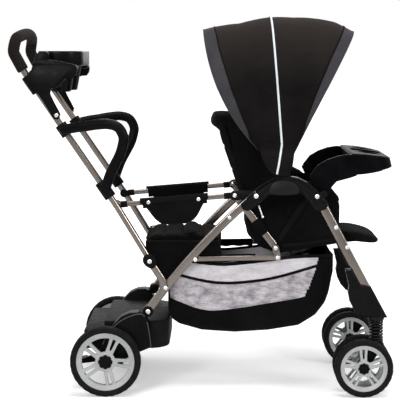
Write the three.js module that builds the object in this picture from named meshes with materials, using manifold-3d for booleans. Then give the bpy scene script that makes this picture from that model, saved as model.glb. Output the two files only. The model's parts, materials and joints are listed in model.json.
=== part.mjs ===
// Sit and stand stroller: a front seat under a folding canopy, a rear bench and a standing platform.
// Millimetres, +X forward, +Y to the left, +Z up. The floor is at zero and the origin is under the
// middle of the overall length. Each side piece is drawn for the left side and mirrored for the right.

import * as THREE from "three";
import Module from "manifold-3d";
import { mergeVertices } from "three/addons/utils/BufferGeometryUtils.js";

const wasm = await Module();
wasm.setup();

// Clearances
const GAP = 0.3; // between pieces that touch or are bolted together
const PIN_GAP = 0.4; // round a pin in its bore
const OVERRUN = 6; // how far a cutting solid runs past the piece it cuts
const BITE = 1.5; // how deep joined shapes of one piece run into each other

// Wheels
const REAR_AXLE_X = -311;
const REAR_WHEEL_R = 98;
const REAR_WHEEL_Y = 247;
const REAR_TYRE_WIDTH = 30;
const REAR_RIM_R = 81;
const REAR_RIM_BAND = 16;
const REAR_HUB_R = 28;
const REAR_CAP_R = 18;
const REAR_AXLE_R = 5;
const REAR_SPOKE_PHASE = 67;
const FRONT_AXLE_X = 402;
const FRONT_WHEEL_R = 81;
const FRONT_TYRE_WIDTH = 27;
const FRONT_RIM_R = 65;
const FRONT_RIM_BAND = 13;
const FRONT_HUB_R = 21;
const FRONT_CAP_R = 14;
const FRONT_AXLE_R = 4;
const FRONT_SPOKE_PHASE = 20;
const FRONT_WHEEL_SPREAD = 35; // from the caster's middle to each wheel's middle
const SPOKE_COUNT = 5;
const WHEEL_SIDES = 24;

// Rear frame
const REAR_LEG_Y = 186;
const REAR_LEG_THICK = 14;
const REAR_LEG_WIDE = 23;
const HUB_X = 104;
const HUB_Z = 555;
const HUB_PIN_R = 5;
const LEG_FOOT_X = -195;
const LEG_FOOT_Z = 231;
const LOWER_TUBE_THICK = 16;
const LOWER_TUBE_WIDE = 20;
const HANDLE_PIVOT_X = -190;
const HANDLE_PIVOT_Z = 372;
const LOWER_TUBE_KNEE_X = -143;
const LOWER_TUBE_KNEE_Z = 300;
const KNEE_REACH = 32;
const HOUSING_Y_IN = 178;
const HOUSING_Y_OUT = 228;
const HOUSING_REAR_X = -334;
const HOUSING_FRONT_X = -186;
const HOUSING_TOP_Z = 231;
const HOUSING_BOTTOM_Z = 76;
const HOUSING_LUG_R = 15;
const HOUSING_EDGE = 3;
const PLATFORM_REAR_X = -376;
const PLATFORM_FRONT_X = -138;
const PLATFORM_TOP_Z = 198;
const PLATFORM_REAR_TOP_Z = 172;
const PLATFORM_BOTTOM_Z = 120;
const PLATFORM_CORNER_R = 60;
const PLATFORM_WALL = 5;
const PLATFORM_RIB = 3;
const PLATFORM_RIB_LIFT = 20;
const PLATFORM_EDGE = 3;
const PEDAL_Y = 166;
const PEDAL_THICK = 16;
const PEDAL_LENGTH = 74;
const PEDAL_ARM = 34;
const PEDAL_TAIL_DROP = 26;
const PEDAL_HUB_R = 13;
const PEDAL_PAD = 30;
const PEDAL_TILT = 12;

// Bench between the rear legs
const BENCH_REAR_X = -203;
const BENCH_FRONT_X = 8;
const BENCH_TOP_Z = 422;
const BENCH_BOTTOM_Z = 384;
const BENCH_Y = 157;
const BENCH_PLATE = 8;
const BENCH_WALL = 4;
const BENCH_BOLT_X = -146;
const BENCH_BOLT_Z = 297;
const BENCH_BOLT_R = 13;
const BENCH_PAD_HEIGHT = 26;
const BENCH_PAD_Y = 150;

// Handle
const HANDLE_Y = 184;
const HANDLE_R = 9;
const GRIP_FOOT_X = -537;
const GRIP_FOOT_Z = 898;
const GRIP_ELBOW_BACK = 27; // behind the grip's foot, and the rises are above it
const GRIP_ELBOW_RISE = 50;
const GRIP_CORNER_BACK = 21;
const GRIP_CORNER_RISE = 86;
const GRIP_TOP_BACK = 10;
const GRIP_TOP_RISE = 103;
const GRIP_R = 14.5;
const HANDLE_BEND_REACH = 12; // how far before a corner its bend starts
const GRIP_ELBOW_REACH = 9;
const GRIP_CORNER_REACH = 27;
const GRIP_CROWN_REACH = 32;
const GRIP_MIDDLE_REACH = 60;

// Grab bars, one D-shaped loop on each side of the handle
const GRAB_R = 11.75;
const GRAB_CLAMP_R = 15;
const GRAB_CLAMP_LENGTH = 36;
const GRAB_TOP_SHARE = 0.437; // of the handle's upper stretch, from the grip down
const GRAB_BOTTOM_SHARE = 0.882;
const GRAB_REACH = 168; // from the handle to the front of the loop, along X
const GRAB_RISE = 46; // how far the loop climbs above the lower edge of its upper clamp
const GRAB_FLARE = 58; // how far the loop swings out sideways

// Parent tray
const TRAY_REACH = 69; // from the tray's clamp to its middle, along X
const TRAY_WIDE = 128;
const TRAY_Y = 150;
const TRAY_TOP_Z = 951;
const TRAY_BAND = 42;
const TRAY_WALL = 4;
const TRAY_CORNER_R = 52;
const TRAY_EDGE = 3;
const CUP_Y = 92;
const CUP_R = 42;
const CUP_DEPTH = 114;
const CUP_TAPER = 14;
const TRAY_WELL_Y = 40;
const TRAY_WELL_DEPTH = 34;
const TRAY_CLAMP_SHARE = 0.0984;
const TRAY_CLAMP_R = 15;
const TRAY_CLAMP_LENGTH = 54;
const TRAY_STRAP_SHARE = 0.362;
const TRAY_STRAP_THICK = 5;
const TRAY_STRAP_R = 10;

// Side rails and their panels
const RAIL_PIVOT_X = -283;
const RAIL_PIVOT_Z = 525;
const EAR_X = 46;
const EAR_Z = 552;
const RAIL_HIGH = 14;
const RAIL_THICK = 12;
const PANEL_START = 72; // from the rail's rear pivot along the rail
const PANEL_LENGTH = 180;
const PANEL_DROP = 76;
const PANEL_SKIN = 4;
const PANEL_LIP = 10;

// Front frame
const FRONT_Y = 214;
const ARCH_Y_OUT = 224;
const ARCH_PLATE = 3.7;
const ARCH_REAR_X = 62;
const ARCH_FRONT_X = 306;
const ARCH_LOW_Z = 520;
const ARCH_TOP_Z = 610;
const ARCH_EDGE = 3;
const ARCH_RIB = 2.2;
const FRONT_LEG_THICK = 15;
const FRONT_LEG_WIDE = 25;
const FRONT_LEG_TOP_X = 274;
const FRONT_LEG_TOP_Z = 552;
const FRONT_LEG_FOOT_X = 424;
const FRONT_LEG_FOOT_Z = 271;
const FORK_REAR_X = 350;
const FORK_FRONT_X = 468;
const FORK_TOP_Z = 352;
const FORK_BOTTOM_Z = 219;
const FORK_THICK = 36;
const FORK_EDGE = 3;
const CROSS_TUBE_R = 8;
const CROSS_X = 352;
const CROSS_Z = 414;
const SWIVEL_X = 438;

// Casters
const STEM_R = 8;
const STEM_SHAFT_R = 7;
const STEM_DISC_R = 23;
const STEM_DISC = 6;
const STEM_REACH = 36;
const SPRING_SPACE = 66;
const SPRING_R = 17.5;
const SPRING_WIRE_R = 2.4;
const SPRING_TURNS = 6;
const SPRING_TRAVEL = 12;
const CARRIER_DISC_R = 20.5;
const CARRIER_DISC = 7;
const CARRIER_THICK = 34;
const CARRIER_HUB_R = 15;

// Canopy
const CANOPY_X = 180;
const CANOPY_Z = 624;
const CANOPY_HALF_WIDTH = 207;
const CANOPY_SKIN = 2;
const BOW_THICK = 4;
const BOW_WIDE = 12;
const BOW_HUB_R = 12;
const BOW_PIN_R = 4;
const CANOPY_REACH_REAR = 447;
const CANOPY_REACH_MIDDLE = 424;
const CANOPY_REACH_FRONT = 432;
const CANOPY_SAG = 12;
const CANOPY_CROWN = 7; // how far the front panel swells above the line between its bows
const CANOPY_FOOT = 44; // the fabric starts this far from the pivot

// Seat
const SEAT_PIVOT_X = 160;
const SEAT_PIVOT_Z = 405;
const LOWER_RAIL_X = -64;
const LOWER_RAIL_Z = 374;
const LOWER_RAIL_END_X = 166;
const LOWER_RAIL_END_Z = 378;
const LOWER_RAIL_HIGH = 14;
const LOWER_RAIL_THICK = 12;
const LINK_THICK = 12;
const LINK_WIDE = 21;
const TUB_Y = 150;
const TUB_WALL = 8;
const TUB_REAR_X = 96;
const TUB_FRONT_X = 340;
const TUB_TOP_Z = 586;
const SEAT_PAD_THICK = 34;
const SEAT_PAD_LIFT = 8.7; // from the underside of the tub to the pad's low corner
const SEAT_PAD_REAR_X = 166;
const SEAT_PAD_FRONT_X = 334;
const SEAT_PAD_Y = 138;
const SEAT_TILT = 9.2;
const RECLINE_X = 130;
const RECLINE_Z = 434;
const RECLINE_ROD_R = 7;
const BACKREST_LENGTH = 356;
const BACKREST_THICK = 46;
const BACKREST_Y = 138;
const BACKREST_LEAN = 19;
const BACKREST_START = -8;
const CALF_LENGTH = 92;
const CALF_THICK = 44;
const CALF_Y = 126;
const CALF_DROP = 13;
const CALF_LIFT = 14;
const CALF_KNUCKLE_R = 12.5;

// Child tray
const TRAY_PIVOT_X = 290;
const TRAY_PIVOT_Z = 560;
const TRAY_PIN_R = 5;
const CHILD_ARM_Y = 178;
const CHILD_ARM_THICK = 15;
const CHILD_TRAY_REAR_X = 366;
const CHILD_TRAY_FRONT_X = 486;
const CHILD_TRAY_TOP_Z = 668;
const CHILD_TRAY_BAND = 52;
const CHILD_TRAY_WALL = 4;
const CHILD_TRAY_CORNER_R = 78;
const CHILD_WELL_DEPTH = 22;
const CHILD_CUP_R = 37;
const CHILD_CUP_Y = 92;
const CHILD_CUP_DEPTH = 62;

// Basket
const BASKET_REAR_X = -140;
const BASKET_FRONT_X = 322;
const BASKET_TOP_Z = 366;
const BASKET_FLOOR_Z = 158;
const BASKET_Y = 155;
const BASKET_SKIN = 3;
const BASKET_HOOK = 16;

// Faceting
const TUBE_SIDES = 10;
const PIN_SIDES = 12;
const CURVE_SEGMENTS = 3;
const BEND_STEP = 22; // the most that a bend turns between two stations, in degrees

const DEGREE = Math.PI / 180;

// Looks
const look = (color, roughness, metalness = 0) =>
  new THREE.MeshStandardMaterial({ color, roughness, metalness });
const champagne = look(0x9c938b, 0.35, 0.85);
const steel = look(0xb9b9b9, 0.3, 0.9);
const blackPlastic = look(0x17171a, 0.45);
const greyPlastic = look(0x2c2c30, 0.5);
const rimGrey = look(0xa9abac, 0.4);
const rubber = look(0x101012, 0.8);
const foam = look(0x1b1918, 0.9);
const cloth = look(0x0e0e10, 0.95);
const net = look(0x9a929c, 0.9);

const stroller = new THREE.Group();

// Solids: to a manifold body and back

function turnOut(geometry) {
  const p = geometry.attributes.position;
  const index = geometry.index;
  const a = new THREE.Vector3();
  const b = new THREE.Vector3();
  const c = new THREE.Vector3();
  let volume = 0;
  for (let i = 0; i < index.count; i += 3) {
    a.fromBufferAttribute(p, index.getX(i));
    b.fromBufferAttribute(p, index.getX(i + 1));
    c.fromBufferAttribute(p, index.getX(i + 2));
    volume += a.dot(b.cross(c));
  }
  if (volume < 0) reverse(geometry);
  return geometry;
}

function reverse(geometry) {
  const index = geometry.index;
  for (let i = 0; i < index.count; i += 3) {
    const second = index.getX(i + 1);
    index.setX(i + 1, index.getX(i + 2));
    index.setX(i + 2, second);
  }
  return geometry;
}

function bare(geometry) {
  const plain = geometry.clone();
  plain.deleteAttribute("normal");
  plain.deleteAttribute("uv");
  return turnOut(mergeVertices(plain));
}

function bodyOf(geometry) {
  const merged = bare(geometry);
  const skin = new wasm.Mesh({
    numProp: 3,
    vertProperties: new Float32Array(merged.attributes.position.array),
    triVerts: new Uint32Array(merged.index.array),
  });
  return new wasm.Manifold(skin);
}

function geometryOf(body) {
  const skin = body.getMesh();
  const geometry = new THREE.BufferGeometry();
  geometry.setAttribute("position", new THREE.BufferAttribute(skin.vertProperties, 3));
  geometry.setIndex(new THREE.BufferAttribute(skin.triVerts, 1));
  geometry.computeVertexNormals();
  return geometry;
}

const join = (...pieces) => geometryOf(pieces.map(bodyOf).reduce((a, b) => a.add(b)));

const cut = (piece, ...tools) =>
  geometryOf(tools.map(bodyOf).reduce((a, b) => a.subtract(b), bodyOf(piece)));

function mirrored(geometry) {
  return reverse(bare(geometry).scale(1, -1, 1));
}

function add(name, geometry, material) {
  const shape = bare(geometry);
  shape.computeVertexNormals();
  const mesh = new THREE.Mesh(shape, material);
  mesh.name = name;
  stroller.add(mesh);
}

function addPair(name, geometry, material) {
  add(name + "_left", geometry, material);
  add(name + "_right", mirrored(geometry), material);
}

// Shapes

const at = (x, z, y = 0) => new THREE.Vector3(x, y, z);

// Shares of a box's width and height, measured from its low corner, as points of an outline.
const inBox = (x0, z0, x1, z1, shares) =>
  shares.map(([s, t]) => new THREE.Vector2(x0 + s * (x1 - x0), z0 + t * (z1 - z0)));

// A smooth closed outline through points.
function smoothOutline(points, segments) {
  return new THREE.SplineCurve([...points, points[0]]).getPoints(segments).slice(1);
}

// A plate whose outline lies in the XZ plane, from y0 to y1, with its outer edges broken by a bevel.
function plate(outline, y0, y1, bevel = 0) {
  const shape = Array.isArray(outline) ? new THREE.Shape(outline) : outline;
  const geometry = new THREE.ExtrudeGeometry(shape, {
    depth: y1 - y0 - 2 * bevel,
    bevelEnabled: bevel > 0,
    bevelThickness: bevel,
    bevelSize: bevel,
    bevelOffset: -bevel,
    bevelSegments: 1,
    curveSegments: CURVE_SEGMENTS,
  });
  return geometry.rotateX(Math.PI / 2).translate(0, y1 - bevel, 0);
}

// A slab whose outline lies in the XY plane, from z0 to z1.
function slab(shape, z0, z1, bevel = 0) {
  const geometry = new THREE.ExtrudeGeometry(shape, {
    depth: z1 - z0 - 2 * bevel,
    bevelEnabled: bevel > 0,
    bevelThickness: bevel,
    bevelSize: bevel,
    bevelOffset: -bevel,
    bevelSegments: 1,
    curveSegments: CURVE_SEGMENTS,
  });
  return geometry.translate(0, 0, z0 + bevel);
}

function roundedBox(x0, x1, y0, y1, r) {
  const shape = new THREE.Shape();
  shape.moveTo(x0 + r, y0);
  shape.lineTo(x1 - r, y0);
  shape.absarc(x1 - r, y0 + r, r, -Math.PI / 2, 0);
  shape.lineTo(x1, y1 - r);
  shape.absarc(x1 - r, y1 - r, r, 0, Math.PI / 2);
  shape.lineTo(x0 + r, y1);
  shape.absarc(x0 + r, y1 - r, r, Math.PI / 2, Math.PI);
  shape.lineTo(x0, y0 + r);
  shape.absarc(x0 + r, y0 + r, r, Math.PI, 1.5 * Math.PI);
  return shape;
}

// A bar in the XZ plane with a round end at each of two places.
function barShape(x0, z0, x1, z1, r0, r1) {
  const angle = Math.atan2(z1 - z0, x1 - x0);
  const shape = new THREE.Shape();
  shape.absarc(x0, z0, r0, angle + Math.PI / 2, angle + 1.5 * Math.PI);
  shape.absarc(x1, z1, r1, angle - Math.PI / 2, angle + Math.PI / 2);
  return shape;
}

// Rods along Y and along Z.
function rodY(x, z, r, y0, y1, sides = PIN_SIDES) {
  return new THREE.CylinderGeometry(r, r, y1 - y0, sides).translate(x, (y0 + y1) / 2, z);
}

function rodZ(x, y, r0, z0, z1, r1 = r0, sides = PIN_SIDES) {
  const rod = new THREE.CylinderGeometry(r1, r0, z1 - z0, sides).rotateX(Math.PI / 2);
  return rod.translate(x, y, (z0 + z1) / 2);
}

// Stations through points, each with the two directions across the run. The first lies along Y.
function stationsThrough(points) {
  const u = new THREE.Vector3(0, 1, 0);
  return points.map((p, i) => {
    const before = points[Math.max(0, i - 1)];
    const after = points[Math.min(points.length - 1, i + 1)];
    const run = after.clone().sub(before).normalize();
    u.addScaledVector(run, -u.dot(run)).normalize();
    return { p, u: u.clone(), v: run.clone().cross(u) };
  });
}

// Stations of a curve: evenly spaced, or, on a path with bends, at the ends and round each bend.
function stationsOf(curve, steps) {
  if (!curve.curves) return stationsThrough(curve.getSpacedPoints(steps));
  const points = curve.curves.flatMap((piece) => {
    const turn = piece.getTangent(0).angleTo(piece.getTangent(1)) / DEGREE;
    const divisions = Math.max(1, Math.ceil(turn / BEND_STEP));
    return piece.getPoints(divisions).slice(0, -1);
  });
  return stationsThrough([...points, curve.getPoint(1)]);
}

// A ring of points round a station: a circle, or a flat oval with a share of squareness.
function ring(station, a, b = a, sides = TUBE_SIDES, square = 1) {
  const points = [];
  for (let k = 0; k < sides; k++) {
    const angle = (2 * Math.PI * (k + 0.5)) / sides;
    const c = Math.cos(angle);
    const s = Math.sin(angle);
    const du = a * Math.sign(c) * Math.abs(c) ** square;
    const dv = b * Math.sign(s) * Math.abs(s) ** square;
    points.push(station.p.clone().addScaledVector(station.u, du).addScaledVector(station.v, dv));
  }
  return points;
}

// A closed skin over rings with equal numbers of points, capped at both ends.
function skinOver(rings) {
  const sides = rings[0].length;
  const points = rings.flat().flatMap((p) => [p.x, p.y, p.z]);
  const faces = [];
  for (let i = 0; i < rings.length - 1; i++) {
    const here = i * sides;
    const next = here + sides;
    for (let k = 0; k < sides; k++) {
      const j = (k + 1) % sides;
      faces.push(here + k, here + j, next + j, here + k, next + j, next + k);
    }
  }
  const last = (rings.length - 1) * sides;
  for (let k = 1; k < sides - 1; k++) {
    faces.push(0, k + 1, k);
    faces.push(last, last + k, last + k + 1);
  }
  const geometry = new THREE.BufferGeometry();
  geometry.setAttribute("position", new THREE.BufferAttribute(new Float32Array(points), 3));
  geometry.setIndex(faces);
  return geometry;
}

// The path of an extrusion that keeps to given stations and their two directions across the run.
class StationPath extends THREE.Curve {
  constructor(stations) {
    super();
    this.stations = stations;
  }
  getSpacedPoints() {
    return this.stations.map((s) => s.p);
  }
  computeFrenetFrames() {
    return {
      tangents: this.stations.map((s) => s.u.clone().cross(s.v)),
      normals: this.stations.map((s) => s.u),
      binormals: this.stations.map((s) => s.v),
    };
  }
}

function sectionPoints(a, b, sides, square) {
  const flat = { p: at(0, 0), u: new THREE.Vector3(1, 0, 0), v: new THREE.Vector3(0, 1, 0) };
  return ring(flat, a, b, sides, square).map((p) => new THREE.Vector2(p.x, p.y));
}

const extrudedAlong = (stations, section) =>
  new THREE.ExtrudeGeometry(section, {
    steps: stations.length - 1,
    extrudePath: new StationPath(stations),
  });

// Tubes along a curve: round, flat oval and hollow.
const roundTube = (curve, r, steps, sides = TUBE_SIDES) =>
  extrudedAlong(stationsOf(curve, steps), new THREE.Shape(sectionPoints(r, r, sides, 1)));

const OVAL_SQUARENESS_SHARE = 0.62;
function flatTube(curve, thick, wide, steps) {
  const section = sectionPoints(thick / 2, wide / 2, TUBE_SIDES, OVAL_SQUARENESS_SHARE);
  return extrudedAlong(stationsOf(curve, steps), new THREE.Shape(section));
}

function hollowTube(stations, outer, inner) {
  const section = new THREE.Shape(sectionPoints(outer, outer, TUBE_SIDES, 1));
  section.holes.push(new THREE.Path(sectionPoints(inner, inner, TUBE_SIDES, 1)));
  return extrudedAlong(stations, section);
}

const lineOf = (a, b) => new THREE.LineCurve3(a, b);
const smoothCurve = (points) => new THREE.CatmullRomCurve3(points, false, "centripetal");

// Straight runs joined by round bends, each bend starting a given length before its corner.
function bentPath(corners, bend) {
  const path = new THREE.CurvePath();
  let from = corners[0];
  for (let i = 1; i < corners.length - 1; i++) {
    const back = corners[i - 1].clone().sub(corners[i]);
    const on = corners[i + 1].clone().sub(corners[i]);
    const reach = bend[i - 1];
    const enter = corners[i].clone().addScaledVector(back.normalize(), reach);
    const leave = corners[i].clone().addScaledVector(on.normalize(), reach);
    path.add(new THREE.LineCurve3(from, enter));
    path.add(new THREE.QuadraticBezierCurve3(enter, corners[i], leave));
    from = leave;
  }
  path.add(new THREE.LineCurve3(from, corners[corners.length - 1]));
  return path;
}

// Places along the line from a to b, as shares of its length along and across it.
function alongLine(a, b, y, shares) {
  const run = new THREE.Vector2(b.x - a.x, b.z - a.z);
  return shares.map(([s, t]) => at(a.x + s * run.x - t * run.y, a.z + s * run.y + t * run.x, y));
}

// A crowned cushion: its length runs along X from zero, its thickness is about Z, and its edges draw in.
function cushion(length, halfWidth, thick, channels, steps, across) {
  const CROWN_POWER_SHARE = 0.42;
  const DRAW_SHARE = 0.035;
  const CHANNEL_SHARE = 0.16;
  const FLAT_SHARE = 0.3;
  const top = [];
  const bottom = [];
  for (let i = 0; i <= steps; i++) {
    for (let j = 0; j <= across; j++) {
      const s = i / steps;
      const t = (2 * j) / across - 1;
      const edge = (1 - (2 * s - 1) ** 8) * (1 - t ** 8);
      const swell = Math.max(0, edge) ** CROWN_POWER_SHARE;
      const groove = channels > 0 ? 1 - CHANNEL_SHARE * Math.cos(channels * Math.PI * s) ** 8 : 1;
      const x = length * (s - DRAW_SHARE * (2 * s - 1) * (1 - t * t));
      const y = halfWidth * t * (1 - DRAW_SHARE * (1 - (2 * s - 1) ** 2));
      top.push([x, y, thick * (FLAT_SHARE + (1 - FLAT_SHARE) * swell * groove)]);
      bottom.push([x, y, thick * FLAT_SHARE * (1 - swell)]);
    }
  }
  const row = across + 1;
  const count = top.length;
  const faces = [];
  for (let i = 0; i < steps; i++) {
    for (let j = 0; j < across; j++) {
      const a = i * row + j;
      const b = a + row;
      const c = b + 1;
      const d = a + 1;
      // The two faces of a square meet along the diagonal that runs towards the nearest corner.
      const inwards = 2 * i < steps === 2 * j < across;
      const half = inwards ? [a, b, c, a, c, d] : [a, b, d, b, c, d];
      faces.push(...half);
      faces.push(...half.map((k) => count + k).reverse());
    }
  }
  const geometry = new THREE.BufferGeometry();
  const places = new Float32Array([...top, ...bottom].flat());
  geometry.setAttribute("position", new THREE.BufferAttribute(places, 3));
  geometry.setIndex(faces);
  return geometry;
}

// Wheels: a tyre, and a rim whose hub carries five double spokes and a lobed cap

const facetRadius = (r) => r / Math.cos(Math.PI / WHEEL_SIDES);

function turned(profile) {
  const points = [...profile, profile[0]].map(([r, y]) => new THREE.Vector2(facetRadius(r), y));
  return new THREE.LatheGeometry(points, WHEEL_SIDES, Math.PI / WHEEL_SIDES);
}

function tyre(radius, seat, width) {
  const shares = [
    [0, -0.38],
    [0.5, -0.5],
    [1, -0.26],
    [1, 0.26],
    [0.5, 0.5],
    [0, 0.38],
  ];
  return turned(shares.map(([s, t]) => [seat + s * (radius - seat), t * width]));
}

function spoke(from, to, angle, y0, y1) {
  const ROOT_SHARE = 0.3;
  const TIP_SHARE = 0.36;
  const SLOT_SHARE = 0.075;
  const SLOT_START_SHARE = 0.28;
  const SLOT_END_SHARE = 0.98;
  const SLOT_FLARE_SHARE = 0.12;
  const run = to - from;
  const shape = new THREE.Shape();
  shape.moveTo(from, -ROOT_SHARE * run);
  shape.lineTo(to, -TIP_SHARE * run);
  shape.lineTo(to, TIP_SHARE * run);
  shape.lineTo(from, ROOT_SHARE * run);
  const slot = new THREE.Path();
  const start = from + SLOT_START_SHARE * run;
  const end = from + SLOT_END_SHARE * run;
  slot.moveTo(start, -SLOT_SHARE * run);
  slot.lineTo(start, SLOT_SHARE * run);
  slot.lineTo(end, SLOT_FLARE_SHARE * run);
  slot.lineTo(end, -SLOT_FLARE_SHARE * run);
  shape.holes.push(slot);
  return plate(shape, y0, y1).rotateY(-angle * DEGREE);
}

function lobedCap(radius, y0, y1) {
  const LOBES = 8;
  const LOBE_SHARE = 0.08;
  const points = [];
  for (let k = 0; k < 2 * LOBES; k++) {
    const angle = (Math.PI * k) / LOBES;
    const r = radius * (1 - LOBE_SHARE + LOBE_SHARE * Math.cos(LOBES * angle));
    points.push(new THREE.Vector2(r * Math.cos(angle), r * Math.sin(angle)));
  }
  return plate(points, y0, y1);
}

function rim(radius, band, hubRadius, capRadius, bore, width, phase) {
  const HALF_SHARE = 0.42;
  const LIP_SHARE = 0.34;
  const FACE_SHARE = 0.3;
  const SPOKE_SHARE = 0.3;
  const CAP_SHARE = 0.14;
  const outer = radius - GAP;
  const inner = radius - band;
  const half = HALF_SHARE * width;
  const lip = LIP_SHARE * width;
  const ringBody = turned([
    [inner, -lip],
    [outer, -half],
    [outer, half],
    [inner, lip],
  ]);
  const face = FACE_SHARE * width;
  const back = face - SPOKE_SHARE * width;
  const hub = rodY(0, 0, hubRadius, -half, face + BITE, 10);
  const cap = lobedCap(capRadius, face, face + BITE + CAP_SHARE * width);
  const spokes = [];
  for (let k = 0; k < SPOKE_COUNT; k++) {
    const angle = phase + (360 * k) / SPOKE_COUNT;
    spokes.push(spoke(hubRadius - BITE, inner + BITE, angle, back, face));
  }
  const blindBore = rodY(0, 0, bore + PIN_GAP, -half - OVERRUN, face - BITE, 8);
  return cut(join(ringBody, hub, cap, ...spokes), blindBore);
}

function addWheel(name, tyreShape, rimShape, x, y, z, faceLeft) {
  const faced = (shape) => (faceLeft ? shape.clone() : mirrored(shape));
  add(name.replace("*", "tyre"), faced(tyreShape).translate(x, y, z), rubber);
  add(name.replace("*", "rim"), faced(rimShape).translate(x, y, z), rimGrey);
}

const rearTyre = tyre(REAR_WHEEL_R, REAR_RIM_R, REAR_TYRE_WIDTH);
const rearRim = rim(
  REAR_RIM_R,
  REAR_RIM_BAND,
  REAR_HUB_R,
  REAR_CAP_R,
  REAR_AXLE_R,
  REAR_TYRE_WIDTH,
  REAR_SPOKE_PHASE,
);
const frontTyre = tyre(FRONT_WHEEL_R, FRONT_RIM_R, FRONT_TYRE_WIDTH);
const frontRim = rim(
  FRONT_RIM_R,
  FRONT_RIM_BAND,
  FRONT_HUB_R,
  FRONT_CAP_R,
  FRONT_AXLE_R,
  FRONT_TYRE_WIDTH,
  FRONT_SPOKE_PHASE,
);
for (const [side, sign] of [
  ["left", 1],
  ["right", -1],
]) {
  const rearY = sign * REAR_WHEEL_Y;
  addWheel("rear_*_" + side, rearTyre, rearRim, REAR_AXLE_X, rearY, REAR_WHEEL_R, sign > 0);
  const outerY = sign * (FRONT_Y + FRONT_WHEEL_SPREAD);
  const innerY = sign * (FRONT_Y - FRONT_WHEEL_SPREAD);
  const z = FRONT_WHEEL_R;
  addWheel("front_*_" + side + "_outer", frontTyre, frontRim, FRONT_AXLE_X, outerY, z, sign > 0);
  addWheel("front_*_" + side + "_inner", frontTyre, frontRim, FRONT_AXLE_X, innerY, z, sign < 0);
}

// Rear legs: flat-oval tubes, gently bowed, with the hub pin's bore at the top

const hub = at(HUB_X, HUB_Z);
const legFoot = at(LEG_FOOT_X, LEG_FOOT_Z);
const rearLegShares = [
  [1, 0],
  [0.78, 0.022],
  [0.5, 0.03],
  [0.25, 0.022],
  [0, 0],
];
const rearLegY = REAR_LEG_Y;
const rearLegIn = REAR_LEG_Y - REAR_LEG_THICK / 2;
const rearLegOut = REAR_LEG_Y + REAR_LEG_THICK / 2;
const rearLegCurve = smoothCurve(alongLine(legFoot, hub, rearLegY, rearLegShares));
const eyeR = REAR_LEG_WIDE / 2;
const rearLegTube = flatTube(rearLegCurve, REAR_LEG_THICK, REAR_LEG_WIDE, 7);
const rearLegEyes = [
  rodY(HUB_X, HUB_Z, eyeR, rearLegIn, rearLegOut),
  rodY(LEG_FOOT_X, LEG_FOOT_Z, eyeR, rearLegIn, rearLegOut),
];
const rearLegSolid = join(rearLegTube, ...rearLegEyes);
const hubBore = rodY(
  HUB_X,
  HUB_Z,
  HUB_PIN_R + PIN_GAP,
  rearLegIn - OVERRUN,
  rearLegOut + OVERRUN,
);
addPair("rear_leg", cut(rearLegSolid, hubBore), champagne);

// Lower tubes: bent tubes from the handle's pivot down beside the leg to the rear housing

const lowerTubeIn = rearLegOut + GAP;
const lowerTubeOut = lowerTubeIn + LOWER_TUBE_THICK;
const lowerTubeY = (lowerTubeIn + lowerTubeOut) / 2;
const lowerTubeCurve = bentPath(
  [
    at(HANDLE_PIVOT_X, HANDLE_PIVOT_Z, lowerTubeY),
    at(LOWER_TUBE_KNEE_X, LOWER_TUBE_KNEE_Z, lowerTubeY),
    at(LEG_FOOT_X, LEG_FOOT_Z, lowerTubeY),
  ],
  [KNEE_REACH],
);
const lowerEyeR = LOWER_TUBE_WIDE / 2;
const lowerTubeSolid = join(
  flatTube(lowerTubeCurve, LOWER_TUBE_THICK, LOWER_TUBE_WIDE),
  rodY(HANDLE_PIVOT_X, HANDLE_PIVOT_Z, lowerEyeR, lowerTubeIn, lowerTubeOut),
  rodY(LEG_FOOT_X, LEG_FOOT_Z, lowerEyeR, lowerTubeIn, lowerTubeOut),
);
addPair("lower_tube", lowerTubeSolid, champagne);

// Rear housings: moulded fenders that hold the feet of both tubes and the rear axle

const housingShares = [
  [0, 0.2],
  [0.02, 0.06],
  [0.12, 0],
  [0.28, 0.04],
  [0.78, 0.28],
  [1, 0.37],
  [0.99, 0.62],
  [0.96, 0.8],
  [0.88, 0.93],
  [0.76, 1],
  [0.6, 0.99],
  [0.44, 0.92],
  [0.28, 0.76],
  [0.1, 0.46],
];
const housingOutline = inBox(
  HOUSING_REAR_X,
  HOUSING_BOTTOM_Z,
  HOUSING_FRONT_X,
  HOUSING_TOP_Z,
  housingShares,
);
const lugOut = lowerTubeOut + GAP + HOUSING_EDGE;
const housingBody = join(
  plate(housingOutline, HOUSING_Y_IN, HOUSING_Y_OUT, HOUSING_EDGE),
  rodY(LEG_FOOT_X, LEG_FOOT_Z, HOUSING_LUG_R, HOUSING_Y_IN, lugOut),
);
const feetSpace = join(
  flatTube(rearLegCurve, REAR_LEG_THICK + 2 * GAP, REAR_LEG_WIDE + 2 * GAP, 7),
  rodY(LEG_FOOT_X, LEG_FOOT_Z, eyeR + GAP, rearLegIn - GAP, rearLegOut + GAP),
  flatTube(lowerTubeCurve, LOWER_TUBE_THICK + 2 * GAP, LOWER_TUBE_WIDE + 2 * GAP),
  rodY(LEG_FOOT_X, LEG_FOOT_Z, lowerEyeR + GAP, lowerTubeIn - GAP, lowerTubeOut + GAP),
);
const axleBore = rodY(
  REAR_AXLE_X,
  REAR_WHEEL_R,
  REAR_AXLE_R + PIN_GAP,
  HOUSING_Y_IN - OVERRUN,
  HOUSING_Y_OUT + OVERRUN,
);
addPair("rear_housing", cut(housingBody, feetSpace, axleBore), blackPlastic);

// Rear axle
const rearAxleEnd = REAR_WHEEL_Y + REAR_TYRE_WIDTH / 8;
add("rear_axle", rodY(REAR_AXLE_X, REAR_WHEEL_R, REAR_AXLE_R, -rearAxleEnd, rearAxleEnd), steel);

// Standing platform: an open-bottomed moulding between the housings, with ribs under its top

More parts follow.
